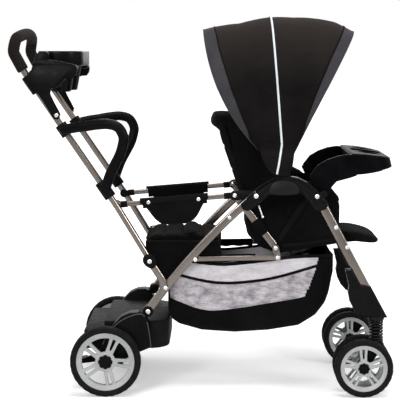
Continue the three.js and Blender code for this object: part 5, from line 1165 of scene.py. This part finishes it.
CALF_PAD = ((341, 428), (346, 441), (360, 446), (382, 445.5), (404, 442), (424, 437), (442, 430), (454, 421),
            (456, 414), (446, 409), (418, 410), (388, 413), (360, 411), (345, 416))
HEAD_ROLL = ((10, 722), (-4, 734), (-18, 745), (-20, 757), (-14, 773), (4, 777), (25, 776), (44, 775), (52, 765),
             (48, 750), (32, 742), (20, 730))
BACK_BOLSTER = ((98, 494), (86, 491), (78, 479), (75, 465), (80, 452), (82, 436), (94, 421), (115, 410),
                (140, 404), (152, 414), (142, 446), (120, 478))
BENCH_BOLSTER = ((-102, 434), (-95, 443), (-84, 448), (-70, 448), (-59, 442), (-53, 434), (-60, 426), (-92, 426))
WING_REAR = ((442, 112), (600, 58), (770, 22))
WING_FRONT = ((442, 156), (470, 170), (520, 180), (560, 178), (600, 162), (640, 142), (700, 112), (750, 84),
              (770, 60))
SEAT_TILT, BACK_LEAN = math.radians(9.2), math.radians(109)


def add_seat():
    bench = place_matrix(at(-203, 422.3), (1, 0))
    add_cushion("bench_cushion", (211, 148, 15), bench, "rear_frame", ("bench_pad",),
                [("x", 52), ("x", 104), ("x", 156)], (5, 2.2), cap=4)
    seat = place_matrix(at(166, 395), (math.cos(SEAT_TILT), math.sin(SEAT_TILT)))
    add_cushion("seat_cushion", (168, 138, 34), seat, "seat", ("seat_pad",),
                [("x", 56), ("x", 112), ("y", 46), ("y", -46)], (10, 2.2))
    # The back pad's crowned side faces forward, so its Z runs against the usual quarter turn.
    ax, az = math.cos(BACK_LEAN), math.sin(BACK_LEAN)
    origin = at(BACK_PIN[0] - 8 * ax - 23 * az, BACK_PIN[1] - 8 * az + 23 * ax)
    add_cushion("back_cushion", (356, 138, 46), place_matrix(origin, (ax, az)) @ Matrix.Scale(-1, 4, UP), "back",
                ("backrest",), [("x", 72), ("x", 142), ("x", 212), ("x", 282), ("y", 52), ("y", -52)],
                (14, 2.4))
    soft_roll("calf_cushion", CALF_PAD, 126, "calf_support", 0.8, ("calf_rest",))
    soft_roll("head_roll", HEAD_ROLL, 139, "back", 2.6)
    soft_roll("back_bolster", BACK_BOLSTER, 136, "back", 2.2)
    soft_roll("bench_bolster", BENCH_BOLSTER, 128, "rear_frame", 1.4)
    piece("calf_cushion_sleeve", [rod(CROSS_TUBE, 12.2, -113, 113, 2.0, 28)], CLOTH, "calf_support", sharp=50)
    piece("recline_rod", [rod(BACK_PIN, 7, -141.5, 141.5, 1.0, 24)], BLACK, "back", sharp=50)
    for side, sign in SIDES:
        # Side wings of fabric between the backrest and the canopy.
        rows = []
        for i in range(45):
            z = lerp(770, 442, i / 44)
            rear, fore = straight(WING_REAR, z), straight(WING_FRONT, z)
            row = []
            for k in range(21):
                u = k / 20
                crease = 0.8 * noise.noise(Vector((u * 3, z * 0.014, 6.0))) * math.sin(math.pi * u)
                row.append(at(lerp(rear, fore, u), z, sign * (139.6 + crease)))
            rows.append(row)
        sheet(f"seat_wing_{side}", [grid(rows)], CLOTH, "back", (), 2.2, 0.11, "stretched", ["back_cushion"])
        # The sleeve and the small lever on each seat link.
        sleeve = line_at(((130, 443), (117, 460), (102, 480)), sign * LINK_Y)
        piece(f"link_sleeve_{side}", [sweep(sleeve, oval(8.4, 13.4, 24, 0.6), scale=[0.96, 1.0, 0.96])], CLOTH,
              "seat_links", sharp=50)
        y = sign * 164.6
        knob = [(0, -2), (4.2, -2), (4.4, 0.6), (3.0, 2.2), (0, 2.8)]
        lever = [sweep(line_at(((113, 522), (123, 494)), y), oval(1.7, 2.4, 12)),
                 disc(knob, at(124, 491, y), LEFT * sign, 20)]
        piece(f"link_lever_{side}", lever, STEEL, "seat_links", sharp=50)


TUB_TOP = ((96, 458), (101, 526), (120, 566), (169, 586), (267, 586), (311, 572), (333, 546), (340, 518))
TUB_LOW = ((96, 454), (101, 418), (125, 402), (169, 386.5), (333, 414), (340, 438))
TUB_STATIONS, TUB_WALL, TUB_CORNER, TUB_FLOOR, TUB_OPEN_ROWS, TUB_OPEN_FROM = 72, 20, 5, 12, 19, 24
TUB_HALF, TUB_RADIUS = 148, 10


def tub_section(x):
    """Half a ring from the top of the wall to the middle of the floor: distances out, and heights."""
    top, low = straight(TUB_TOP, x), straight(TUB_LOW, x)
    inner = TUB_HALF - TUB_RADIUS
    ring = []
    for k in range(TUB_WALL):
        t = k / (TUB_WALL - 1)
        z = lerp(top, low + TUB_RADIUS, t)
        drift = 1.2 * noise.noise(Vector((x * 0.03, z * 0.02, 0)))
        pleat = math.sin((x - 96) / 5.2 + drift) * min(1, 2.2 * t) * (1 - t) * 1.6
        ring.append((TUB_HALF + pleat - 1.2 * math.sin(math.pi * t), z))
    for k in range(1, TUB_CORNER + 1):
        angle = math.pi / 2 * k / TUB_CORNER
        ring.append((inner + TUB_RADIUS * math.cos(angle), low + TUB_RADIUS - TUB_RADIUS * math.sin(angle)))
    for k in range(1, TUB_FLOOR + 1):
        ring.append((inner * (1 - k / TUB_FLOOR), low + 2.0 * k / TUB_FLOOR))
    return ring


def add_tub():
    """The seat's fabric body: two gathered side walls and a floor, cut as one trough."""
    rows = []
    for i in range(TUB_STATIONS + 1):
        x = lerp(97, 339, i / TUB_STATIONS)
        ring = tub_section(x)
        rows.append([at(x, z, y) for y, z in ring + [(-y, z) for y, z in reversed(ring[:-1])]])
    points, faces = grid(rows)
    # The floor is open at its rear, where the backrest swings down.
    wide = len(rows[0]) - 1
    opening = range(TUB_OPEN_FROM, wide - TUB_OPEN_FROM)
    faces = [f for n, f in enumerate(faces) if n // wide >= TUB_OPEN_ROWS or n % wide not in opening]
    sheet("seat_shell", [(points, faces)], CLOTH, "seat", ("seat_tub",), 2.6, 0.60, "stretched", ["seat_frame"])
    # Hems along the free edges, the strap that crosses each wall, and a loop below it.
    for side, sign in SIDES:
        edge = [row[0 if sign > 0 else -1] - UP * MM for row in rows[2:-1]]
        piece(f"seat_hem_{side}", [sweep(edge, oval(2.6, 3.4, 10))], BINDING, "seat")
        y = sign * 150.6
        strap = [at(170, 424, y), at(196, 463, sign * 151.5), at(222, 502, sign * 151.2), at(247, 540, y)]
        low = line_at(((178, 408), (230, 413), (285, 421), (332, 427)), y)
        loop = line_at(((203, 392), (207, 372), (213, 358), (224, 368), (238, 391)), y)
        parts = [ribbon(smooth_path(strap), 15, 1.6, Vector((0.8, 0, -0.6))),
                 ribbon(smooth_path(low), 9, 1.6, UP), ribbon(smooth_path(loop), 4, 1.4, UP)]
        piece(f"seat_strap_{side}", parts, WEBBING, "seat", sharp=50)


# Distances up the backrest, out from the middle and in front of it, along each shoulder strap.
SHOULDER_STRAP = ((292, 40, 22), (284, 42, 31), (240, 44, 30), (190, 42, 29), (140, 34, 29), (96, 20, 33),
                  (70, 8, 40))
WAIST_STRAP = ((150, 452, 128), (178, 462, 112), (192, 474, 70), (176, 497, 22))
CROTCH_STRAP = ((214, 434), (212, 452), (199, 476), (184, 494))
BUCKLE = ((-24, -18), (0, -24), (24, -18), (28, 6), (20, 24), (0, 28), (-20, 24), (-28, 6))
BUCKLE_LEVELS = ((0.96, -6), (1.0, -3), (1.0, 4), (0.93, 7), (0.6, 8.5))


def add_harness():
    along = Vector((math.cos(BACK_LEAN), 0, math.sin(BACK_LEAN)))
    front = Vector((along.z, 0, -along.x))
    parts = []
    for sign in (1, -1):
        shoulder = [at(*BACK_PIN, sign * y) + along * (s * MM) + front * (out * MM) for s, y, out in SHOULDER_STRAP]
        waist = [at(x, z, sign * y) for x, z, y in WAIST_STRAP]
        parts += [ribbon(smooth_path(shoulder), 26, 2.2, LEFT), ribbon(smooth_path(waist), 24, 2.2, UP)]
    piece("harness_straps", parts, WEBBING, "back", sharp=50)
    piece("harness_crotch_strap", [ribbon(smooth_path(line_at(CROTCH_STRAP)), 26, 2.2, LEFT)], WEBBING, "seat",
          sharp=50)
    centre = at(182, 497)
    normal = Vector((0.86, 0, 0.51)).normalized()
    up = LEFT.cross(normal)
    rings = [[centre + LEFT * (a * grow * MM) + up * (b * grow * MM) + normal * (depth * MM)
              for a, b in outline_of(BUCKLE)] for grow, depth in BUCKLE_LEVELS]
    piece("harness_buckle", [grid(rings, closed=True)], GREY_STEP, "back", sharp=40)


# Side panels

PANEL_LEFT = ((0, 0), (0.16, 0.005), (0.26, 0.06), (0.76, 0.19), (0.94, 0.27), (1, 0.40))
PANEL_RIGHT = ((0, 1), (0.14, 1), (0.22, 0.95), (0.72, 0.83), (0.9, 0.76), (0.98, 0.66), (1, 0.64))
# From the bottom of the inner flap, over the rail and down to the outer face: distances out, and heights.
PANEL_OVER_RAIL = ((159.6, -17), (159.6, -8), (159.6, 2), (159.8, 8), (161.5, 10.4), (166, 11.2), (171.5, 11),
                   (175.6, 9.6), (177.4, 6))
PANEL_START, PANEL_LENGTH, PANEL_TOP, PANEL_DROP, PANEL_Y = 72, 180, 6.0, 71.0, 177.4
RAIL_RUN = Vector((329, 0, 27)).normalized()


def on_rail(along, up, y):
    """A place from millimetres along the side rail, above it and out from the middle."""
    tilt = math.atan2(27, 329)
    ax, az = math.cos(tilt), math.sin(tilt)
    return at(RAIL_REAR[0] + along * ax - up * az, RAIL_REAR[1] + along * az + up * ax, y)


def add_side_panels():
    shares = [k / 36 for k in range(37)]
    for side, sign in SIDES:
        rows = [[on_rail(lerp(PANEL_START, PANEL_START + PANEL_LENGTH, u), up, sign * y) for u in shares]
                for y, up in PANEL_OVER_RAIL]
        for i in range(1, 27):
            v = i / 26
            left, right = straight(PANEL_LEFT, v), straight(PANEL_RIGHT, v)
            fall = math.sin(math.pi * min(1, v * 1.02)) ** 0.6
            row = []
            for u in shares:
                along = PANEL_START + PANEL_LENGTH * lerp(left, right, u)
                puff = 0.95 * math.sin(math.pi * u) ** 0.6 * fall
                crease = 0.7 * noise.noise(Vector((along * 0.03, v * 2.4, 3.0 * sign))) * math.sin(math.pi * u)
                row.append(on_rail(along, PANEL_TOP - PANEL_DROP * v, sign * (PANEL_Y + puff + crease)))
            rows.append(row)
        sheet(f"hung_side_panel_{side}", [grid(rows)], CLOTH, "side_rails", (f"side_panel_{side}",), 2.4, 0.18,
              "hung", [f"side_rail_{side}"])
        outer = rows[len(PANEL_OVER_RAIL):]
        rim = [row[0] for row in outer] + rows[-1][1:-1] + [row[-1] for row in reversed(outer)]
        rim = [p + Vector((0, sign * 0.0006, 0)) for p in rim]
        tape = [on_rail(66 + 190 * k / 12, 5.5, sign * 179.6) for k in range(13)]
        piece(f"side_panel_binding_{side}", [sweep(rim, oval(1.9, 1.9, 8)), ribbon(tape, 17, 1.6, UP)], BINDING,
              "side_rails")


# Basket

BASKET_RIM = ((-140, 374), (-78, 367), (9, 359), (80, 364), (151, 373), (220, 381), (322, 384))
BASKET_STRIPE = ((-140, 334), (-110, 326), (-50, 311), (9, 303), (80, 306), (162, 319), (273, 351), (322, 366))
BASKET_MESH_LOW = ((-140, 262), (-100, 246), (-60, 231), (-17, 224), (60, 232), (156, 248), (239, 264), (322, 300))
BASKET_BOTTOM = ((-140, 216), (-132, 197), (-110, 182), (-46, 164), (47, 158), (141, 164), (227, 178), (275, 208),
                 (302, 243), (312, 276), (322, 330))
# The front edge of the mesh by height.
MESH_FRONT = ((224, 226), (264, 239), (300, 256), (351, 275), (390, 281))
MESH_REAR = -136
LIGHT, DARK, PLAIN = range(3)


def basket_section(x):
    """Heights and half widths from the rim down to the middle of the floor, with each step's look."""
    rim, stripe, mesh = (table(t, x) for t in (BASKET_RIM, BASKET_STRIPE, BASKET_MESH_LOW))
    bottom = straight(BASKET_BOTTOM, x)
    mesh = max(mesh, bottom + 30) if bottom + 30 < stripe - 16 else stripe - 16
    stripe = min(stripe, rim - 12)
    half = 154 - 10 * max(0.0, (x - 250) / 72) ** 2 - 8 * max(0.0, (-110 - x) / 30) ** 2
    radius = min(34.0, max(4.0, (mesh - bottom) * 0.8))
    points = []
    for z0, z1, steps, look, y0, y1 in (
        (rim, rim - 6, 1, PLAIN, half, half), (rim - 6, stripe + 4, 7, LIGHT, half, half + 0.5),
        (stripe + 4, stripe - 4, 1, PLAIN, half + 0.5, half + 0.5), (stripe - 4, mesh, 9, DARK, half + 0.5, half - 1),
        (mesh, bottom + radius, 4, PLAIN, half - 1, half - 3),
    ):
        points += [(lerp(z0, z1, k / steps), lerp(y0, y1, k / steps), look) for k in range(steps)]
    for k in range(8):
        s, c = math.sin(math.pi / 2 * k / 8), math.cos(math.pi / 2 * k / 8)
        points.append((bottom + radius * (1 - s), half - 3 - radius * (1 - c), PLAIN))
    inner = half - 3 - radius
    for k in range(13):
        points.append((bottom + 1.5 * math.sin(math.pi / 2 * k / 12), inner * (1 - k / 12), PLAIN))
    return points


def add_basket():
    rows, side_looks = [], []
    for x in [lerp(-140, 226, k / 70) for k in range(71)] + [lerp(226, 322, k / 30) for k in range(1, 31)]:
        section = basket_section(x)
        rows.append([(x, z, y + (0.78 * noise.noise(Vector((x * 0.03, z * 0.03, 5.0))) if abs(y) > 60 else 0))
                     for z, y, _ in section])
        plain = [look == PLAIN or x > straight(MESH_FRONT, z) or x < MESH_REAR for z, _, look in section]
        side_looks += [PLAIN if bare else entry[2] for entry, bare in zip(section[:-1], plain)]
    count = len(rows[0])
    side_looks = side_looks[:(len(rows) - 1) * (count - 1)]
    faces = grid_faces(len(rows), count)
    parts = [([at(x, z, y) for row in rows for x, z, y in row], faces),
             ([at(x, z, -y) for row in rows for x, z, y in row], [face[::-1] for face in faces])]
    # The two end walls, between the sides.
    across = 24
    for row, bow in ((rows[0], 6.0), (rows[-1], -4.0)):
        spans = [1 - 2 * k / across for k in range(across + 1)]
        parts.append(grid([[at(x + bow * (1 - t * t), z, y * t) for t in spans] for x, z, y in row]))
    looks = side_looks * 2 + [PLAIN] * (2 * across * (count - 1))
    legs = ["rear_leg_left", "rear_leg_right"]
    cloth = sheet("basket_fabric", parts, [NET_LIGHT, NET_DARK, CLOTH], "rear_frame", ("basket",), 2.0, 0.62, "hung",
                  legs, weld=True, face_looks=looks)
    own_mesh(cloth)
    for side, sign in SIDES:
        for name, end, index, size, lift in (("rim", 318, 0, (2.0, 4.6), -3), ("stripe", 288, 8, (1.8, 4.0), 0)):
            line = []
            for k in range(61):
                x = lerp(-138, end, k / 60)
                rim_z = table(BASKET_RIM, x)
                z = rim_z if name == "rim" else min(table(BASKET_STRIPE, x), rim_z - 12)
                line.append(at(x, z + lift, sign * (basket_section(x)[index][1] + 1.4)))
            made = piece(f"basket_{name}_binding_{side}", [sweep(line, oval(*size, 12, 0.7))], BINDING, "rear_frame")
            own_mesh(made)
        # A cloth hem that hangs from the inner face of each lower rail.
        strips = []
        for k in range(31):
            x = lerp(-64, 104, k / 30)
            z = 374.1 + (x + 64) * 4 / 230
            low = max(table(BASKET_RIM, x) - 5, z - 11 - 1.2 * math.sin(k * 0.9))
            strips.append([at(x, height, sign * y) for height, y in (
                (z + 9.6, 170.0), (z + 9.8, 165.8), (z + 4, 164.6), (z - 6, 164.4), (low, 163.6))])
        sheet(f"basket_hem_{side}", [grid(strips)], CLOTH, "seat", (), 1.4, 0.17, "hung", ["seat_frame"])


# Bolts, brackets and small mouldings

# Each body's bolts: their places, distances from the middle and radii.
BOLTS = {
    "handle": ((-445, 775, 202.2, 6.2), (-310, 577, 201.0, 6.2)),
    "side_rails": ((-194, 533, 181.0, 6.0), (-55, 542, 181.0, 6.0)),
    "front_frame": ((46, 552, 179.2, 6.6), (104, 555, 224.2, 7.0), (271, 554, 224.0, 6.6),
                    (324, 468, 221.7, 6.0), (355, 413, 221.7, 6.0)),
    "rear_frame": ((31, 492, 193.2, 6.0), (-64, 374, 193.2, 6.4), (-190, 372, 215.0, 6.8),
                   (-146, 297, 209.4, 6.4), (-195, 231, 213.0, 7.2)),
    "seat": ((160, 405, 179.2, 6.6), (166, 378, 179.2, 6.6)),
}
# Shares of a bolt's radius, and heights.
BOLT_PROFILE = ((0, -4.0), (0.55, -4.0), (0.55, -0.4), (1, -0.4), (1, 0.9), (0.9, 2.0), (0.66, 2.9), (0.34, 3.4),
                (0.28, 2.5), (0, 2.4))
FOLD_BRACKET = ((-206, 386), (-192, 392), (-176, 384), (-170, 366), (-180, 352), (-196, 356), (-208, 370))
ARCH_CAP_OUTLINE = ((140, 562), (143, 580), (156, 594), (180, 599), (206, 593), (219, 578), (221, 562), (200, 558),
                    (180, 557), (160, 558))
ARCH_RIBS = (((66, 529), (84, 553), (112, 580), (146, 600), (180, 607.5), (212, 604), (244, 588), (270, 566),
              (290, 541)),
             ((108, 532), (128, 558), (150, 576), (182, 584), (214, 578), (238, 560), (256, 538)))
FENDER_RIBS = (((-321, 141), (-300, 178), (-270, 207), (-240, 222), (-215, 227), (-203, 220)),
               ((-197, 205), (-192, 180), (-188, 152), (-187, 136)))


def ribs(lines, y, size, sides):
    return [sweep(smooth_path(line_at(line, y)), oval(size, size, sides)) for line in lines]


def add_bolts():
    for side, sign in SIDES:
        for body, bolts in BOLTS.items():
            parts = [disc([(share * r, h) for share, h in BOLT_PROFILE], at(x, z, sign * y), LEFT * sign, 28)
                     for x, z, y, r in bolts]
            piece(f"bolts_{body}_{side}", parts, STEEL, body, sharp=40)


def add_brackets():
    leg_run = (at(424, 271) - at(274, 552)).normalized() * 0.009
    for side, sign in SIDES:
        parts = [plate(outline_of(FOLD_BRACKET), sign * 209.6, sign * 214.6, 1.6),
                 rod(HANDLE_PIN, 13.0, sign * 174.9, sign * 194.5, 1.6)]
        piece(f"fold_bracket_{side}", parts, BLACK, "rear_frame", sharp=40)
        cap = plate(outline_of(ARCH_CAP_OUTLINE, 6), sign * 214, sign * 226.6, 3.2)
        piece(f"arch_cap_{side}", [cap], ARCH_CAP, "front_frame", sharp=40)
        piece(f"arch_ribs_{side}", ribs(ARCH_RIBS, sign * 223.8, 1.9, 10), GLOSSY, "front_frame", sharp=50)
        # The collar where the front leg leaves its moulding.
        p = at(286, 529.5, sign * FRONT_Y)
        piece(f"leg_collar_{side}", [sweep([p - leg_run, p + leg_run], oval(10, 15, 32, 0.5))], GLOSSY,
              "front_frame", sharp=40)
        parts = [rod(pin, 12.5, sign * 156.4, sign * 162.5, 1.6) for pin in (RAIL_REAR, RAIL_FRONT)]
        for pin, way in ((RAIL_REAR, 1), (RAIL_FRONT, -1)):
            start = at(*pin, sign * RAIL_Y)
            ends = [start + RAIL_RUN * (0.011 * way), start + RAIL_RUN * (0.030 * way)]
            parts.append(sweep(ends, oval(7.6, 9.0, 28, 0.5)))
        piece(f"rail_caps_{side}", parts, BLACK, "side_rails", sharp=40)
        # The fender ribs take the light grey look: a painted highlight along the rear housing's edges.
        piece(f"fender_ribs_{side}", ribs(FENDER_RIBS, sign * 228.0, 1.5, 8), PAINTED_HIGHLIGHT_GREY, "rear_frame", sharp=50)


# Light, floor and background

WHITE = (1, 1, 1)
WORLD_LIGHT = 0.42
# Each lamp's name, place, aim height, size and power.
LAMPS = (("top", (0.2, -0.6, 3.4), 0.4, 1.6, 66), ("front", (-1.6, -4.4, 2.4), 0.5, 1.2, 84),
         ("side", (2.8, -2.2, 1.8), 0.5, 0.9, 46), ("rear", (0.4, 3.6, 2.4), 0.5, 2.4, 34))
FLOOR_HALF, FLOOR_Z, FLOOR_GREY = 30.0, -0.0005, (0.86, 0.86, 0.86)
# The floor's own glow grows from near to far, so that it ends in white and keeps the shadow.
GLOW_NEAR, GLOW_FAR, GLOW_FROM, GLOW_TO = 0.36, 1.0, 0.7, 3.2


def add_studio():
    scene = bpy.context.scene
    scene.view_settings.view_transform = "Standard"
    scene.world = bpy.data.worlds.new("studio")
    world = Nodes(scene.world)
    rays = world.add("ShaderNodeLightPath", {}).outputs
    seen = rays["Is Camera Ray"]
    for name in ("Is Glossy Ray", "Is Transmission Ray"):
        seen = world.math("MAXIMUM", seen, rays[name])
    ground = world.nodes["Background"]
    world.feed(ground.inputs["Color"], WHITE)
    world.feed(ground.inputs["Strength"], world.spread(seen, WORLD_LIGHT, 1.0, 0, 1))

    for name, place, aim, size, power in LAMPS:
        data = bpy.data.lights.new(name, "AREA")
        data.energy = power
        data.size = size
        lamp = add_object(name, data)
        lamp.location = place
        lamp.rotation_euler = (Vector((0, 0, aim)) - Vector(place)).to_track_quat("-Z", "Y").to_euler()
        lamp.visible_camera = False

    mesh = bpy.data.meshes.new("floor")
    corners = ((-1, -1), (1, -1), (1, 1), (-1, 1))
    mesh.from_pydata([(a * FLOOR_HALF, b * FLOOR_HALF, FLOOR_Z) for a, b in corners], [], [(0, 1, 2, 3)])
    floor = add_object("floor", mesh)
    material = bpy.data.materials.new("floor")
    look = Nodes(material)
    look.nodes.clear()
    place = look.add("ShaderNodeTexCoord", {}).outputs["Object"]
    away = look.add("ShaderNodeVectorMath", {0: place}, operation="LENGTH").outputs["Value"]
    far = look.spread(away, GLOW_NEAR, GLOW_FAR, GLOW_FROM, GLOW_TO, interpolation_type="SMOOTHSTEP")
    camera_ray = look.add("ShaderNodeLightPath", {}).outputs["Is Camera Ray"]
    glow = look.add("ShaderNodeEmission", {"Strength": look.math("MULTIPLY", camera_ray, far)})
    diffuse = look.add("ShaderNodeBsdfDiffuse", {"Color": FLOOR_GREY})
    both = look.add("ShaderNodeAddShader", {0: diffuse.outputs[0], 1: glow.outputs[0]})
    look.add("ShaderNodeOutputMaterial", {"Surface": both.outputs[0]})
    mesh.materials.append(material)


add_camera()
add_studio()
add_wheels()
add_tubes()
add_grab_bars()
add_mouldings()
add_parent_tray()
add_springs()
add_canopy()
add_seat()
add_tub()
add_harness()
add_side_panels()
add_basket()
add_bolts()
add_brackets()
